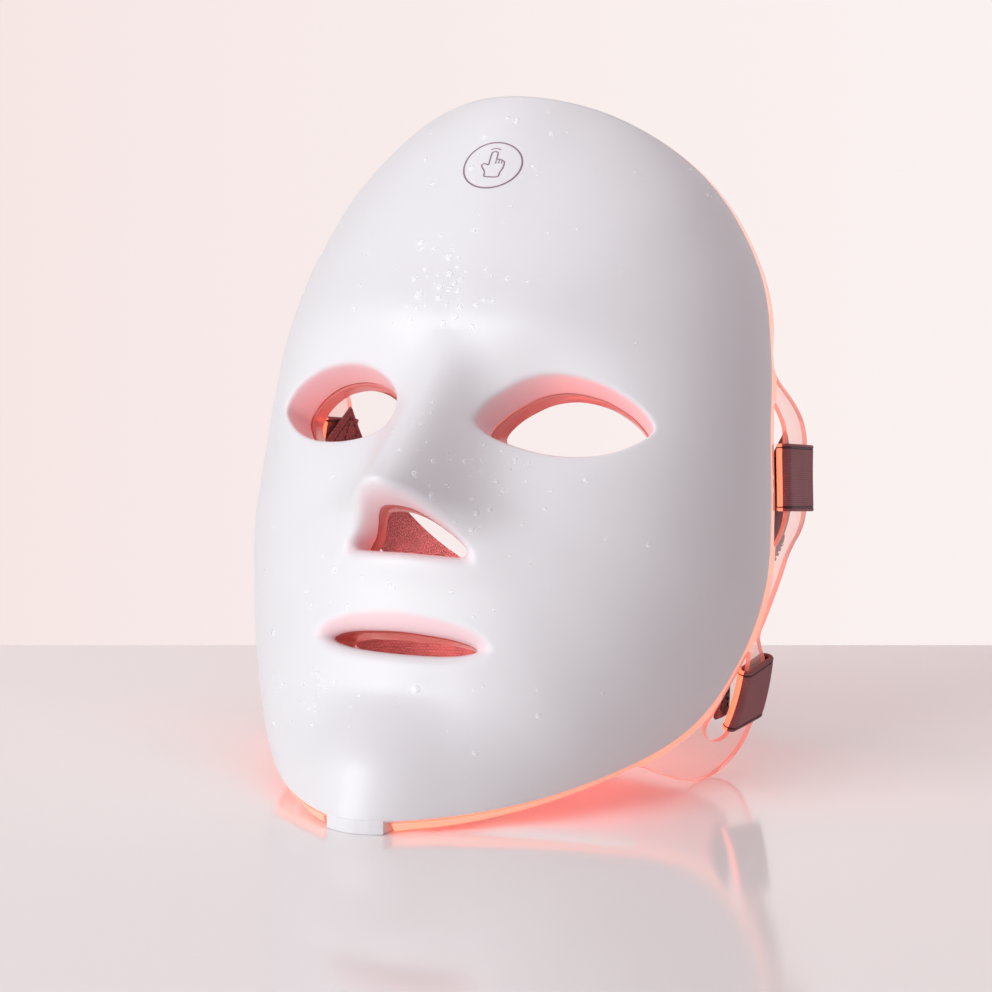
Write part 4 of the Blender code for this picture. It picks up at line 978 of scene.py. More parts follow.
def screw_hole(x, z, radius, sides=28):
    """Pattern loop that is a circle round the screw's axis."""
    middle = pattern([(x, z)])
    depth = float(liner_depth(middle)[0])
    slopes = jacobian(lambda at: level(at, depth), middle, 0.2)
    out = through(x, z)[3]
    right = unit(np.array([1.0, 0, 0]) - out * out[0])
    turns = np.linspace(0, 2 * math.pi, sides, endpoint=False)
    ring = np.outer(np.cos(turns), right) + np.outer(np.sin(turns), np.cross(out, right))
    return middle + ring * radius @ np.linalg.pinv(slopes).T


def liner_outline():
    """Outline, and how much each of its points takes the edge's rounding."""
    left = past_rim(smooth_loop(EAR_EDGE, 330, closed=False))
    ear_top, ear_foot = rim_angle(EAR_EDGE[0][0]), rim_angle(EAR_EDGE[-1][0])
    turn = np.linspace(ear_top, math.pi - ear_top, 260)[1:-1]
    off = math.pi / 2 - np.abs(turn - math.pi / 2)
    shoulder = ease(ear_top + 0.03, ear_top + 0.16, off) * (1 - ease(1.0, 1.45, off))
    crown = at_angle(turn, BAND + 2.5 * shoulder)
    jaw = at_angle(np.linspace(ear_foot, NOTCH_TURN, 70)[1:], BAND)
    notch = at_angle(NOTCH_TURN + np.array([0, 0, 0.028, 0.055]),
                     [FIT_GAP + 0.35, FIT_GAP, -4.0, -NOTCH_UP])
    side = np.concatenate([left, jaw, notch])
    base = at_angle(np.linspace(-math.pi - NOTCH_TURN, NOTCH_TURN, 14)[1:-1], -NOTCH_UP)
    soft = np.concatenate([np.ones(len(left) + len(jaw) - 4), [0.7, 0.4, 0.15, 0.0],
                           np.zeros(len(notch))])
    return (np.concatenate([side[::-1], crown, side * [-1, 1], base]),
            np.concatenate([soft[::-1], np.ones(len(crown)), soft, np.zeros(len(base))]))


def build_liner():
    outline, soft = liner_outline()
    slots = [past_rim(smooth_loop(UPPER_SLOT, 150)), past_rim(smooth_loop(LOWER_SLOT, 130))]
    slots += [mirrored(slot) for slot in slots]
    bores = [screw_hole(x * side, z, 1.3) for x, z in SCREWS.values() for side in (1, -1)]
    rim_in = offset(outline, soft * EDGE_INSET)
    slots_in = [offset(slot, -EDGE_INSET) for slot in slots]
    # two ridges round the rim hold the step up to the ears
    turn = np.linspace(NOTCH_TURN, math.pi - NOTCH_TURN, 560)
    turn = turn[(turn > NOTCH_TURN + 0.01) & (turn < math.pi - NOTCH_TURN - 0.01)]
    ridges = []
    for distance in (FIT_GAP + 0.35, FIT_GAP):
        ends = []
        for want in at_angle([NOTCH_TURN, math.pi - NOTCH_TURN], distance):
            ends.append(rim_in[np.argmin(np.linalg.norm(rim_in - want, axis=1))][None])
        ridges.append(np.concatenate([ends[0], at_angle(turn, distance), ends[1]]))
    grid = filler(3.4, 2.4, (-38, -78, 38, 46))
    grid = grid[np.abs(behind(grid) - 0.5) > 1.3]
    liner = Body()

    def sheet(ring, depth_of, flip):
        """Front or back sheet, whose openings follow one ring of the collars."""
        mouths = []
        for kind, side, loop in OPENINGS:
            out, depth = COLLAR[kind][ring]
            mouths.append(drawn(kind, side, grow(loop, out), LINER_LEVEL + depth))
        return liner.sheet(lambda at: (level(at, depth_of(at)), (behind(at), 0, 0)), rim_in,
                           mouths + slots_in + bores, grid, 1.2, ridges, flip)
    front = sheet(0, liner_depth, False)
    back = sheet(-1, liner_back, True)

    def edge(k, loop, pull):
        """Rounded edge between the two sheets along a loop."""
        near, far, distance = liner_depth(loop), liner_back(loop), behind(loop)
        rings = [front[k]]
        for share in (0.10, 0.28, 0.72, 0.90):
            by = 0.0 if 0.2 < share < 0.8 else pull * EDGE_INSET * 0.3
            rings.append(liner.add(level(offset(loop, by), near + (far - near) * share),
                                   (distance, 1, 0)))
        liner.loft(rings + [back[k]])
    liner.slot = 1
    edge(0, outline, soft)
    first_slot = 1 + len(OPENINGS)
    for k, slot in enumerate(slots, first_slot):
        edge(k, slot, -1.0)
    liner.slot = 0
    for k in range(first_slot + len(slots), first_slot + len(slots) + len(bores)):
        liner.loft([front[k], back[k]])
    # collar walls carry painted red glow, lighter in the eyes and darker, as painted shade, in nose
    # and mouth
    for k, (kind, side, loop) in enumerate(OPENINGS, 1):
        rings = [front[k]]
        for out, depth in COLLAR[kind][1:-1]:
            depth += LINER_LEVEL
            rings.append(liner.add(level(drawn(kind, side, grow(loop, out), depth), depth),
                                   (-12.0, 1, 1 if kind == "eye" else 0.5)))
        liner.loft(rings + [back[k]])
    liner.build("liner_clear", "liner_clear", LINER, LINER_EDGE, replaces=["inner_liner"])


build_liner()


# ---- posts and screws ----
def heights(x, z, radius, depth_of):
    """Heights of a liner face round a screw, along the post's outward axis."""
    centre, _, _, out = through(x, z)
    ring = screw_hole(x, z, radius, 16)
    return (level(ring, depth_of(ring)) - centre) @ out


def build_posts():
    posts = Body()
    for x, z in SCREWS.values():
        for side in (1, -1):
            end = heights(x * side, z, 2.9, liner_depth).max() + 0.35
            profile = [(0, -1.2), (3.4, -1.2), (3.4, -2.1), (3.05, -2.5), (2.9, -3.1),
                       (2.9, end + 0.25), (2.65, end), (1.6, end), (1.35, end + 0.3),
                       (1.35, SCREW_TIP), (0, SCREW_TIP)]
            # info 4.0: the posts take the full painted red glow, pink colour and a stronger emission
            turned(posts, through(x * side, z), profile, 28, (4.0, 0, 0))
    posts.build("screw_posts", "shell_white", SHELL)


def cross_blade(turn, top):
    """One tapering blade of the cross recess, cut into a head whose top is given."""
    along = np.array([math.cos(turn), math.sin(turn), 0])
    across = np.array([-math.sin(turn), math.cos(turn), 0])
    blade = Body()
    rings = []
    for length, width, height in ((0.45, 0.16, -0.75), (1.3, 0.2, 0.6)):
        corners = ((-length, -width), (length, -width), (length, width), (-length, width))
        rings.append(blade.add([along * x + across * y + np.array([0, 0, top + height])
                                for x, y in corners]))
    blade.loft(rings, capped=True)
    return blade.make("cross_tool", STEEL, resting=True)


def build_screw(name, x, z, side):
    """Pan-head screw, its head towards the face."""
    centre, right, up, out = through(x * side, z)
    length = SCREW_TIP - (heights(x * side, z, 2.1, liner_back).min() - 0.35)
    head = [(1.95, 0), (2.1, 0.14), (2.1, 0.55), (1.95, 0.95), (1.6, 1.28), (1.1, 1.46),
            (0.5, 1.52), (0, 1.53)]
    profile = [(0, 0.0), (0.55, 0.0), (0.9, 0.35), (0.9, length - 0.05), (1.0, length)]
    profile += [(radius, length + height) for radius, height in head]
    screw = Body()
    turned(screw, FLAT, profile, 36)
    side_name = "left" if side > 0 else "right"
    ob = screw.make("screw_%s_%s_fine" % (name, side_name), STEEL, resting=True, sharp=32)
    for turn in (0, math.pi / 2):
        cut(ob, cross_blade(turn, length + 1.53))
    right, up, axis = (rest(v) - rest(np.zeros(3)) for v in (right, up, -out))
    spin = 0.7 * (x + z) * side
    right = right * math.cos(spin) + up * math.sin(spin)
    origin = rest(centre + out * SCREW_TIP) * MM
    columns = np.column_stack([right, np.cross(axis, right), axis, origin])
    ob.data.transform(Matrix(columns.tolist() + [[0, 0, 0, 1]]))
    info = ob.data.attributes.get("info")
    if info:                      # guards against the cut having dropped it
        ob.data.attributes.remove(info)
    resharpen(ob, 32)
    settle(ob, replaces=["screw_%s_%s" % (name, side_name)])


build_posts()
for name, (x, z) in SCREWS.items():
    for side in (1, -1):
        build_screw(name, x, z, side)

# ---- touch ring and pointing hand printed on the forehead ----
KEY_CENTRE = pattern([(0.1, 86.6)])[0]
HAND_SCALE = 1.15
HAND = [(0.0, 5.5), (-0.75, 5.15), (-1.0, 4.3), (-1.0, 1.6), (-1.05, -0.3), (-1.7, -0.1),
        (-2.5, 0.1), (-3.1, -0.35), (-3.0, -1.2), (-2.2, -2.4), (-1.6, -3.6), (-1.5, -4.9),
        (-0.9, -5.3), (1.0, -5.4), (2.4, -5.3), (3.0, -4.8), (3.1, -3.4), (3.6, -1.8),
        (3.75, 0.0), (3.6, 1.1), (3.0, 1.6), (2.5, 1.9), (1.9, 2.1), (1.2, 2.0), (1.0, 2.6),
        (1.0, 4.3), (0.75, 5.15)]
KNUCKLES = [(1.05, 1.7, 0.2), (1.95, 1.7, 0.3), (2.85, 1.3, 0.3)]    # x, top, bottom


def ink(body, path, width, closed=False):
    """Thin raised print along a line drawn in the pattern round the key."""
    flat = np.asarray(path, float) + KEY_CENTRE
    along = np.roll(flat, -1, 0) - np.roll(flat, 1, 0) if closed else np.gradient(flat, axis=0)
    along = unit(along)
    aside = np.stack([-along[:, 1], along[:, 0]], -1) * width / 2
    rows = [body.add(level(flat + aside * sign, depth))
            for sign, depth in ((-1, -0.045), (1, -0.045), (1, 0.06), (-1, 0.06))]
    body.loft(rows + rows[:1], closed)
    if not closed:
        body.face([row[0] for row in rows])
        body.face([row[-1] for row in rows][::-1])


def build_touch_mark():
    mark = Body()
    turn = np.linspace(0, 2 * math.pi, 150, endpoint=False)
    ink(mark, np.stack([10.4 * np.cos(turn), 11.2 * np.sin(turn)], -1), 0.62, True)
    ink(mark, smooth_loop(HAND, 170) * HAND_SCALE, 0.5, True)
    for x, top, bottom in KNUCKLES:
        ink(mark, np.linspace((x, top), (x, bottom), 6) * HAND_SCALE, 0.42)
    turn = np.radians(np.linspace(50, 130, 16))      # arc over the fingertip
    arc = np.stack([2.5 * np.cos(turn), 4.4 + 2.5 * np.sin(turn)], -1)
    ink(mark, arc * HAND_SCALE, 0.42)
    mark.build("touch_mark", "shell_white", INK)


build_touch_mark()


# ---- lamps ----
def lamp_spots(loop):
    low, high = loop.min(0), loop.max(0)
    mid = (low + high) / 2
    across, up = (int(size / LED_PITCH / 2) + 1 for size in high - low)
    spots = np.array([(mid[0] + i * LED_PITCH, mid[1] + j * LED_PITCH)
                      for i in range(-across, across + 1) for j in range(-up, up + 1)])
    return spots[inside(grow(loop, -3.6), spots)]


def build_lamps():
    cheek = smooth_loop(CHEEK, 30, fine=12)
    fields = [smooth_loop(both_sides(FOREHEAD), 34, fine=12), cheek, mirrored(cheek),
              smooth_loop(both_sides(CHIN), 26, fine=12)]
    base = -BOARD_THICK - 1.4
    profile = [(0, 0.15), (1.25, 0.15), (1.25, -0.1), (1.15, -0.4), (0.85, -0.68),
               (0.45, -0.82), (0, -0.86)]
    domes, pads = Body(), Body()
    for field in fields:
        for x, z in lamp_spots(field):
            frame = seat(x, z, BOARD_LEVEL)
            turned(domes, frame, [(radius, base + h) for radius, h in profile], 16, (0.2, 0, 0))
            for mid in (-1.95, 1.95):
                box_at(pads, frame, (mid - 0.4, -1.1, base + 1.3), (mid + 0.4, 1.1, base + 1.46))
            box_at(pads, frame, (-2.2, 2.4, base + 0.95), (-0.6, 3.2, base + 1.42))
    domes.build("lamp_domes", "board_white", LAMP)
    pads.build("lamp_pads", "copper", COPPER)


build_lamps()


# ---- wiring ----
def build_wire(name, replaced, points, depths, count):
    line = smooth_loop(points, count, closed=False)
    depth = np.interp(np.linspace(0, 1, count), np.linspace(0, 1, len(depths)), depths)
    wire = Body()
    tube(wire, level(pattern(line), depth), 0.7, 16, taper=0.5)
    wire.build(name, "wire_red", WIRE, replaces=[replaced])


build_wire("battery_wire", "battery_lead",
           [(58.5, -22), (66, -10), (70.5, 6), (71, 22), (62, 36), (44, 47), (28, 53),
            (17.2, 56)], [5.4, 4.6, 4.2, 4.2, 4.4, 4.6, 4.8, 5.0], 120)
build_wire("charge_wire", "charge_lead",
           [(-11, -99), (-22, -94), (-31, -84), (-34.5, -72), (-40, -58), (-46, -44),
            (-54, -31), (-65, -18), (-71, 0), (-71, 19), (-62, 34), (-50, 47), (-34, 54),
            (-17.2, 57)], [4.8, 4.6, 4.4, 4.2, 4.2, 4.2, 4.2, 4.2, 4.4, 4.6, 4.8], 180)


def build_contacts():
    """Contacts above and below the charging socket's tongue."""
    contacts = Body()
    for i in range(12):
        x = -2.75 + 0.5 * i
        for z in (SOCKET_Z - 0.36, SOCKET_Z + 0.36):
            box_at(contacts, FLAT, (x - 0.13, FOOT_BACK - SOCKET_L + 1.4, z - 0.02),
                   (x + 0.13, FOOT_BACK - 1.5, z + 0.02))
    contacts.build("socket_contacts", "copper", GOLD, resting=True)


build_contacts()


# ---- woven loops ----
def bar_frame(bar):
    """Centre of an ear's bar, and its rearward, up and outward axes, resting frame."""
    height, distance, slant = bar
    here = past_rim([(height, distance)])
    ends = past_rim([(height + 8, distance + 8 * slant), (height - 8, distance - 8 * slant)])
    top, bottom = rest(level(ends, EAR_MID))
    up = unit(top - bottom)
    out = (rest(level(here, 0.0)) - rest(level(here, 1.0)))[0]
    out = unit(out - up * (out @ up))
    rear = np.cross(up, out)
    return rest(level(here, EAR_MID))[0], rear if rear[1] >= 0 else -rear, up, out


def rounded_ring(width, thick):
    """Closed rounded rectangle, starting at mid-width inside, with its arc length."""
    radius = thick / 2 * 0.92
    x, y = width / 2 - radius, thick / 2 - radius
    ring = [(mid_x + radius * math.cos(t), mid_y + radius * math.sin(t))
            for mid_x, mid_y, start in ((x, y, 0), (-x, y, 90), (-x, -y, 180), (x, -y, 270))
            for t in np.radians(np.linspace(start, start + 90, 9))]
    ring = evenly(np.array(ring + ring[:1]), 96, closed=True)
    ring = np.roll(ring, -int(np.argmin(np.abs(ring[:, 0]) + 10 * (ring[:, 1] > 0))), 0)
    return ring, travelled(ring)


def build_sleeve(name, bar, width, side):
    _, rear, up, _ = bar_frame(bar)
    middle = np.array(bar[:2])
    slopes = jacobian(lambda at: rest(level(past_rim(at), EAR_MID)), middle[None], 0.5)
    inverse = np.linalg.pinv(slopes)
    along_up, along_rear = inverse @ up, inverse @ rear

    def wrap(grown, height):
        """Points of the loop at a height on its bar; section and arc length too."""
        ring, run = rounded_ring(width + 2 * grown, SLEEVE_GAP + 2 * grown)
        places = middle + np.outer(ring[:, 0], along_rear) + along_up * height
        return rest(level(past_rim(places), EAR_MID - ring[:, 1])) * [side, 1, 1], ring, run
    half = STRAP_WIDTH / 2
    hem_in = 1.15                 # hem groove in from each edge
    rows = np.concatenate([np.linspace(-half, -half + 2.4, 22),
                           np.linspace(-half + 2.4, half - 2.4, 22)[1:-1],
                           np.linspace(half - 2.4, half, 22)])
    cloth = Body()
    outer, inner = [], []
    for height in rows:
        edge = half - abs(height)
        dip = -0.30 * math.exp(-((edge - hem_in) / 0.28) ** 2) - 0.22 * math.exp(-(edge / 0.3) ** 2)
        puff = 0.10 * math.exp(-((edge - 0.55) / 0.4) ** 2)
        # marks the hem groove for its painted shade
        hem = 1.0 if abs(edge - hem_in) < 0.34 else 0.0
        points, ring, run = wrap(SLEEVE_WALL + dip + puff, height)
        # marks the cloth next to the shell, which is painted as lit by the red light
        lit = (ring[:, 0] < -width / 2 + SLEEVE_LIT) & (ring[:, 1] < 0.25)
        outer.append(cloth.add(points, (run, height, np.where(lit, -1.0, hem))))
        points, _, run = wrap(0.0, height)
        inner.append(cloth.add(points, (run, height, hem)))
    for rings in (inner, outer, [inner[0], outer[0]], [inner[-1], outer[-1]]):
        cloth.loft(rings)
    cloth.build(name + "_woven", "strap_woven", FABRIC, resting=True, replaces=[name], sharp=60)
    threads = Body()              # sunk in the two hem grooves
    for height in (-half + hem_in, half - hem_in):
        path = wrap(SLEEVE_WALL - 0.16, height)[0]
        rings = []
        for point, along in zip(path, unit(np.roll(path, -1, 0) - np.roll(path, 1, 0))):
            spoke = point - path.mean(0)
            spoke = unit(spoke - along * (spoke @ along))
            other = np.cross(along, spoke)
            rings.append(threads.add([point + (spoke * math.cos(t) + other * math.sin(t)) * 0.2
                                      for t in np.linspace(0, 2 * math.pi, 6, endpoint=False)]))
        threads.loft(rings + rings[:1])
    threads.build(name + "_hem_threads", "strap_woven", THREAD, resting=True)


for name, strap in STRAPS.items():
    build_sleeve(name + "_loop_left", strap["bar"], strap["sleeve"], 1)
    build_sleeve(name + "_loop_right", strap["bar"], strap["sleeve"], -1)


# ---- straps ----
def strap_line(strap, count, inset=0.0, span=(0.0, 1.0)):
    """Points along a slack strap, its width axis, face directions and arc length."""
    centre, _, _, out = bar_frame(strap["bar"])
    start = centre - out * (SLEEVE_GAP / 2 + SLEEVE_WALL + strap["clear"] + STRAP_THICK / 2)
    lead = 10.0                   # the ends begin this far ahead of the bars
    t = np.linspace(0, 1, 4001)
    arc = math.pi * (1 - t)
    x = start[0] * np.sign(np.cos(arc)) * np.abs(np.cos(arc)) ** 0.8
    y = (strap["reach"] + lead) * np.clip(np.sin(arc), 0, 1) ** 0.9 - lead
    pick = np.linspace(span[0], span[1], 801)
    line = np.stack([np.interp(pick, t, x), np.interp(pick, t, y), np.zeros(801)], -1)
    line = evenly(line, count)
    along = unit(np.gradient(line, axis=0))
    face = np.stack([along[:, 1], -along[:, 0], np.zeros(count)], -1)
    line = line + face * inset
    droop = math.radians(strap["droop"])
    cos, sin = math.cos(droop), math.sin(droop)
    turn = np.array([[1, 0, 0], [0, cos, sin], [0, -sin, cos]])
    pivot = np.array([0, start[1], start[2]])
    return line @ turn.T + pivot, turn @ [0, 0, 1.0], face @ turn.T, travelled(line)


def band_section(width, thick):
    """Half-round selvedges and a flat middle: (face, width) points."""
    half = width / 2
    rows = np.concatenate([np.linspace(-half + 0.9, -half + 2.2, 5),
                           np.linspace(-half + 2.2, half - 2.2, 12)[1:-1],
                           np.linspace(half - 2.2, half - 0.9, 5)])
    section = []
    for side in (1, -1):
        for y in rows[::side]:
            edge = half - abs(y)
            height = (thick / 2 * (0.90 - 0.16 * math.exp(-((edge - 2.0) / 0.35) ** 2))
                      + 0.10 * math.exp(-((edge - 0.9) / 0.5) ** 2))
            section.append((side * height, y))
        for t in np.radians(np.linspace(75, -75, 7)):
            section.append((side * thick * 0.56 * math.sin(t),
                            side * (half - 0.9 + 0.9 * math.cos(t))))
    return np.array(section)


def build_band(name, slot, material, line, width, thick, rides, replaces):
    section = band_section(width, thick)
    points, wide, faces, runs = line
    body = Body()
    rings = []
    for point, face, run in zip(points, faces, runs):
        near = min(run, runs[-1] - run)
        squeeze = math.sqrt(max(0.15, 1 - max(0.0, 1 - near / 0.5) ** 2))
        rings.append(body.add([point + wide * y + face * x * squeeze for x, y in section],
                              (run, section[:, 1], 0.0)))
    body.loft(rings, capped=True)
    body.build(name, slot, material, rides=rides, resting=True, replaces=[replaces], sharp=60)


def at_arc(line, run):
    points, _, faces, runs = line
    point, face = (np.array([np.interp(run, runs, column) for column in table.T])
                   for table in (points, faces))
    return point, unit(face)


def sew_line(sew, line, start, stop, lift, pitch, radius=0.17, rise=0.22, from_end=False):
    """Row of short threads between two (along, across) places, lift off the middle."""
    start, stop = np.array(start), np.array(stop)
    count = max(2, int(math.hypot(*(stop - start)) / pitch))
    share = np.linspace(0, 1, 6)
    for i in range(count):
        ends = []
        for part in ((i + 0.12) / count, (i + 0.88) / count):
            along, across = start + (stop - start) * part
            point, face = at_arc(line, line[3][-1] - along if from_end else along)
            ends.append(point + line[1] * across + face * lift)
        out = face * math.copysign(1, lift)
        path = (ends[0] + np.outer(share, ends[1] - ends[0])
                + np.outer(np.sin(share * math.pi) ** 0.6, out) * rise)
        tube(sew, path, radius, 6, ref=out + 1e-3, taper=radius * 1.4)


def box_sides(start, stop, half):
    corners = [(start, -half), (stop, -half), (stop, half), (start, half), (start, -half)]
    return list(zip(corners, corners[1:]))


def build_hooks(name, tape, rides):
    """Bent hooks standing on the tape's outer face, leaning alternate ways."""
    wide, length = tape[1], tape[3][-1]
    long, broad = length - 3.4, TAPE_WIDTH - 4.2
    rows, columns = int(long / 1.15), int(broad / 1.1)
    rise = np.linspace(0, 0.75, 5) - [0, 0, 0, 0, 0.18]
    bend = np.array([0, 0.02, 0.10, 0.26, 0.42])
    hooks = Body()
    for i in range(rows + 1):
        for j in range(columns + 1):
            point, face = at_arc(tape, 1.7 + long * i / rows)
            foot = point + wide * (-broad / 2 + broad * j / columns) - face * 0.28
            lean = 1 if (i + j) % 2 else -1
            path = foot - np.outer(rise, face) + np.outer(bend * lean, np.cross(wide, face))
            tube(hooks, path, 0.12, 4, ref=wide + 1e-3)
    hooks.build(name, "hook_tape", HOOKS, rides=rides, resting=True, sharp=0)


def build_strap(name, strap):
    rides = name + "_strap"
    line = strap_line(strap, 300)
    build_band(name + "_band", "strap_woven", BAND_CLOTH, line, STRAP_WIDTH, STRAP_THICK,
               rides, rides)
    sew = Body()
    start, stop, half = 2.2, 9.5, 7.6     # crossed box of stitches at each end
    crosses = [((start, -half), (stop, half)), ((start, half), (stop, -half))]
    for from_end in (False, True):
        for face_side in (1, -1):
            for one, two in box_sides(start, stop, half) + crosses:
                sew_line(sew, line, one, two, face_side * STRAP_THICK * 0.44, pitch=1.9,
                         from_end=from_end)
    for side, span in (("right", (0.16, 0.27)), ("left", (0.73, 0.84))):
        tape = strap_line(strap, 60, -(STRAP_THICK / 2 + 0.28), span)
        build_band("%s_tape_%s" % (name, side), "hook_tape", TAPE, tape, TAPE_WIDTH,
                   TAPE_THICK, rides, "%s_hook_tape_%s" % (name, side))
        build_hooks("%s_hooks_%s" % (name, side), tape, rides)
        for one, two in box_sides(0.8, tape[3][-1] - 0.8, TAPE_WIDTH / 2 - 1.1):
            sew_line(sew, tape, one, two, -0.33, pitch=2.0, radius=0.15, rise=0.16)
    sew.build(name + "_strap_stitches", "strap_woven", THREAD, rides=rides, resting=True, sharp=0)


for name, strap in STRAPS.items():
    build_strap(name, strap)

# ---- CAD solids that stay: material, slot, nodes ----
FINISH = [
    (BOARD, "board_white", ["led_board_forehead", "led_board_cheek_left",
                            "led_board_cheek_right", "led_board_chin"]),
    (AMBER, "ribbon_amber", ["flex_brow_left", "flex_brow_right", "flex_jaw_left",
                             "flex_jaw_right"]),
    (GREEN, "board_green", ["control_board"]),
    (COPPER, "copper", ["touch_electrode", "touch_lead"]),
    (FOIL, "cell_foil", ["battery_cell"]),
    (FOAM, "foam", ["battery_foam_pad"]),
    (GREEN, "board_green", ["charge_board"]),
    (STEEL, "steel", ["usb_c_shell"]),
    (DARK, "dark_plastic", ["usb_c_tongue"])]
for material, slot, names in FINISH:
    for name in names:
        ob = NODES[name]
        if not ob.data.materials:
            ob.data.materials.append(material)
        for material_slot in ob.material_slots:
            material_slot.material = material

# ---- camera, metres from here on ----
AZIMUTH, ELEVATION = math.radians(26.0), math.radians(8.33)
CAMERA_FAR = 0.9
CAMERA_SHIFT = (-0.00276, -0.00327)   # to the camera's right, and up
toward = Vector((math.sin(AZIMUTH) * math.cos(ELEVATION),
                 -math.cos(AZIMUTH) * math.cos(ELEVATION), math.sin(ELEVATION)))
right = Vector((math.cos(AZIMUTH), math.sin(AZIMUTH), 0.0))


def build_camera():
    up = toward.cross(right)
    data = bpy.data.cameras.new("camera")
    camera = add_object("camera", data)
    origin = Vector((0.0, SET_BACK * MM, LIFT * MM))
    place = origin + right * CAMERA_SHIFT[0] + up * CAMERA_SHIFT[1] + toward * CAMERA_FAR
    turn = Matrix((right, up, toward)).transposed().to_4x4()
    camera.matrix_world = Matrix.Translation(place) @ turn
    data.sensor_width = 36.0
    data.lens = 109.0451613
    data.clip_start, data.clip_end = 0.05, 40.0
    bpy.context.scene.camera = camera


build_camera()


# ---- table ----
def build_table():
    look = Look("table_top", Roughness=0.10, IOR=1.75, Specular_IOR_Level=0.5)
    look.put(Base_Color=look.mix(look.noise(scale=2.2, detail=3.0),
                                 (0.955, 0.93, 0.92), (0.985, 0.968, 0.958)),
             Roughness=look.ramp(look.noise(scale=9.0, detail=4.0), span=(0.3, 0.7),
                                 to=(0.085, 0.13), kind="LINEAR"))
    half_width, length, thick = 3.0, 4.0, 0.02
    ahead = Vector((toward.x, toward.y, 0)).normalized()
    edge = Vector((0, SET_BACK * MM, 0)) - ahead * 0.18
    corners = [edge + right * half_width * across + ahead * length * along
               for across, along in ((-1, 0), (1, 0), (1, 1), (-1, 1))]
    mesh = bpy.data.meshes.new("table")
    mesh.from_pydata([(c.x, c.y, z) for z in (0.0, -thick) for c in corners], [],
                     [(0, 3, 2, 1), (4, 5, 6, 7), (0, 1, 5, 4), (1, 2, 6, 5), (2, 3, 7, 6),
                      (3, 0, 4, 7)])
    mesh.materials.append(look.material)
    add_object("table", mesh)


build_table()

# ---- droplets: patch centre (x, z), spread (x, z), count, usual radius, mm ----
PATCHES = [((1, 43), (10, 6.5), 30, 0.95), ((-2, 50), (16, 9), 20, 0.6),
           ((30, -4), (16, 12), 34, 0.55), ((12, -6), (9, 14), 30, 0.45),
           ((24, 60), (30, 26), 22, 0.6), ((16, -48), (26, 20), 30, 0.5),
           ((-22, -74), (14, 9), 22, 0.45), ((-14, -44), (26, 20), 12, 0.5),
           ((8, 96), (22, 7), 16, 0.6)]


def water_look():
    # water is clear: the whitish base colour, stronger at each drop's edge, is painted highlight
    # that makes the drops read lighter than the shell
    look = Look("water", Roughness=0.22, Base_Color=(0.86, 0.86, 0.885))
    facing = look.new("LayerWeight", {"Blend": 0.4}).outputs["Facing"]
    look.see_through(clear=look.ramp(facing, span=(0.15, 0.95), to=(0.62, 0.22)),
                     tint=(0.995, 0.995, 1.0), gloss=0.18)
    return look.material


def build_droplets():
    rng = np.random.default_rng(7)
    spots = []
    for (mid_x, mid_z), (wide, tall), count, usual in PATCHES:
        for _ in range(count):
            spots.append((mid_x + rng.normal() * wide, mid_z + rng.normal() * tall,
                          usual * float(np.exp(rng.normal() * 0.45))))
    holes = [grow(loop, 2.5) for _, _, loop in OPENINGS]
    drops = Body()
    done = []
    for x, z, radius in spots:
        radius = min(max(radius, 0.22), 1.5)
        spot = np.array([[x, z]])
        if any(inside(hole, spot)[0] for hole in holes) or behind(pattern(spot))[0] > -4:
            continue
        if any(math.hypot(x - x0, z - z0) < (radius + other) * 1.15 for x0, z0, other in done):
            continue
        done.append((x, z, radius))
        tall = radius * 0.42
        profile = [(radius * math.cos(t), tall * math.sin(t) - 0.02)
                   for t in np.linspace(0, math.pi / 2, 6)[:-1]]
        turned(drops, seat(x, z, 0.0),
               [(0, -0.1), (radius, -0.1)] + profile + [(0, tall - 0.02)], 16)
    ob = drops.make("droplets", water_look(), sharp=70)
    ob.visible_shadow = False


build_droplets()


# ---- world ----
def build_world():
    """Pale backdrop for the camera, dim pink room for light, and reflections that
    look past the mask find a bright backdrop."""
    world = bpy.data.worlds.new("studio")
    bpy.context.scene.world = world
    world.use_nodes = True
    nodes = Nodes(world.node_tree)
    ray = nodes.new("LightPath").outputs
    coord = nodes.new("TexCoord").outputs
    # the backdrop the camera sees is painted lighter towards the right of the frame: painted light
    # falloff
    across = nodes.split(coord["Window"])[0]
    share = nodes.new("Math", {0: across, 1: 0.12}, operation="ADD").outputs[0]
    backdrop_falloff = nodes.mix(share, (0.915, 0.785, 0.770), (0.960, 0.885, 0.870))
    seen = nodes.new("Background", {0: backdrop_falloff}).outputs[0]
    room = nodes.new("Background", {0: (1.0, 0.80, 0.865), 1: 0.27}).outputs[0]
    backdrop = nodes.new("Background", {0: (0.94, 0.83, 0.815)}).outputs[0]
    rearward = nodes.split(coord["Generated"])[1]
    past = nodes.new("MapRange", {0: rearward, 1: 0.35, 2: 0.75}).outputs[0]
    mirrored_ = nodes.new("Math", {0: past, 1: ray["Is Glossy Ray"]},
                          operation="MULTIPLY").outputs[0]
    unseen = nodes.blend(mirrored_, room, backdrop)
    nodes.new("OutputWorld", {0: nodes.blend(ray["Is Camera Ray"], unseen, seen)})


build_world()


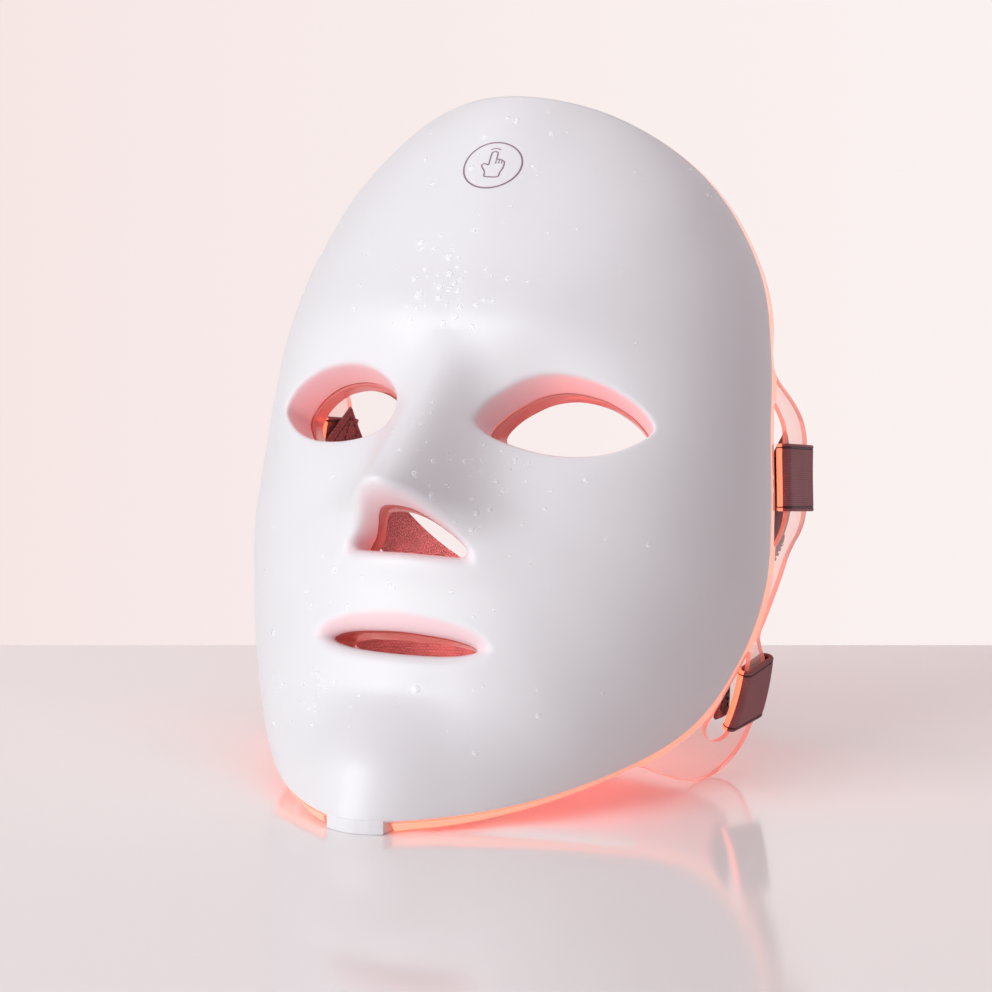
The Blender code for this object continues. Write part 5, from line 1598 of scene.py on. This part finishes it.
# ---- lights ----
def light(name, kind, place, watts, colour, aim=None, **settings):
    data = bpy.data.lights.new(name, kind)
    data.energy, data.color = watts, colour
    for key, value in settings.items():
        setattr(data, key, value)
    ob = add_object(name, data)
    ob.location = place
    if aim:
        ob.rotation_euler = (Vector(aim) - Vector(place)).to_track_quat("-Z", "Y").to_euler()
    return ob


def softbox(name, place, size, watts, colour):
    return light(name, "AREA", place, watts, colour, aim=(0, 0.06, 0.10),
                 shape="RECTANGLE", size=size[0], size_y=size[1])


softbox("key", (-0.92, -1.78, 0.62), size=(1.8, 1.8), watts=46.5, colour=(0.962, 0.988, 0.998))
softbox("fill_right", (1.9, -0.9, 0.9), size=(0.5, 1.3), watts=2.6, colour=(1.0, 0.90, 0.94))
softbox("top", (0.1, 0.5, 1.9), size=(1.6, 1.2), watts=8.0, colour=(1.0, 0.95, 0.95))
rear_box = softbox("behind", (0.3, 1.9, 0.7), size=(2.4, 1.0), watts=8.0,
                   colour=(1.0, 0.90, 0.89))
rear_box.visible_glossy = False
for name, place, watts in (("glow_upper", (0.0, 0.135, 0.125), 0.028),
                           ("glow_lower", (0.0, 0.085, 0.050), 0.060),
                           ("glow_chin", (0.0, 0.022, 0.008), 0.004)):
    light(name, "POINT", place, watts, (1.0, 0.10, 0.05), shadow_soft_size=0.02)

# two spots that light only the straps
webbing = bpy.data.collections.new("webbing")
for ob in list(bpy.data.objects):
    words = ob.name.split("_")
    if (ob.type == "MESH" and words[0] in STRAPS
            and words[1] in ("band", "tape", "hooks", "strap")):
        webbing.objects.link(ob)
for name, place, aim, watts in (
        ("glow_strap_upper", (0.0, 0.112, 0.084), (0.0, 0.160, 0.035), 0.80),
        ("glow_strap_lower", (0.0, 0.100, 0.030), (0.0, 0.145, 0.026), 0.17)):
    spot = light(name, "SPOT", place, watts, (1.0, 0.50, 0.45), aim,
                 shadow_soft_size=0.02, spot_size=2.3, spot_blend=0.8)
    spot.light_linking.receiver_collection = webbing

bpy.context.scene.view_settings.view_transform = "Standard"
bpy.context.scene.view_settings.look = "None"
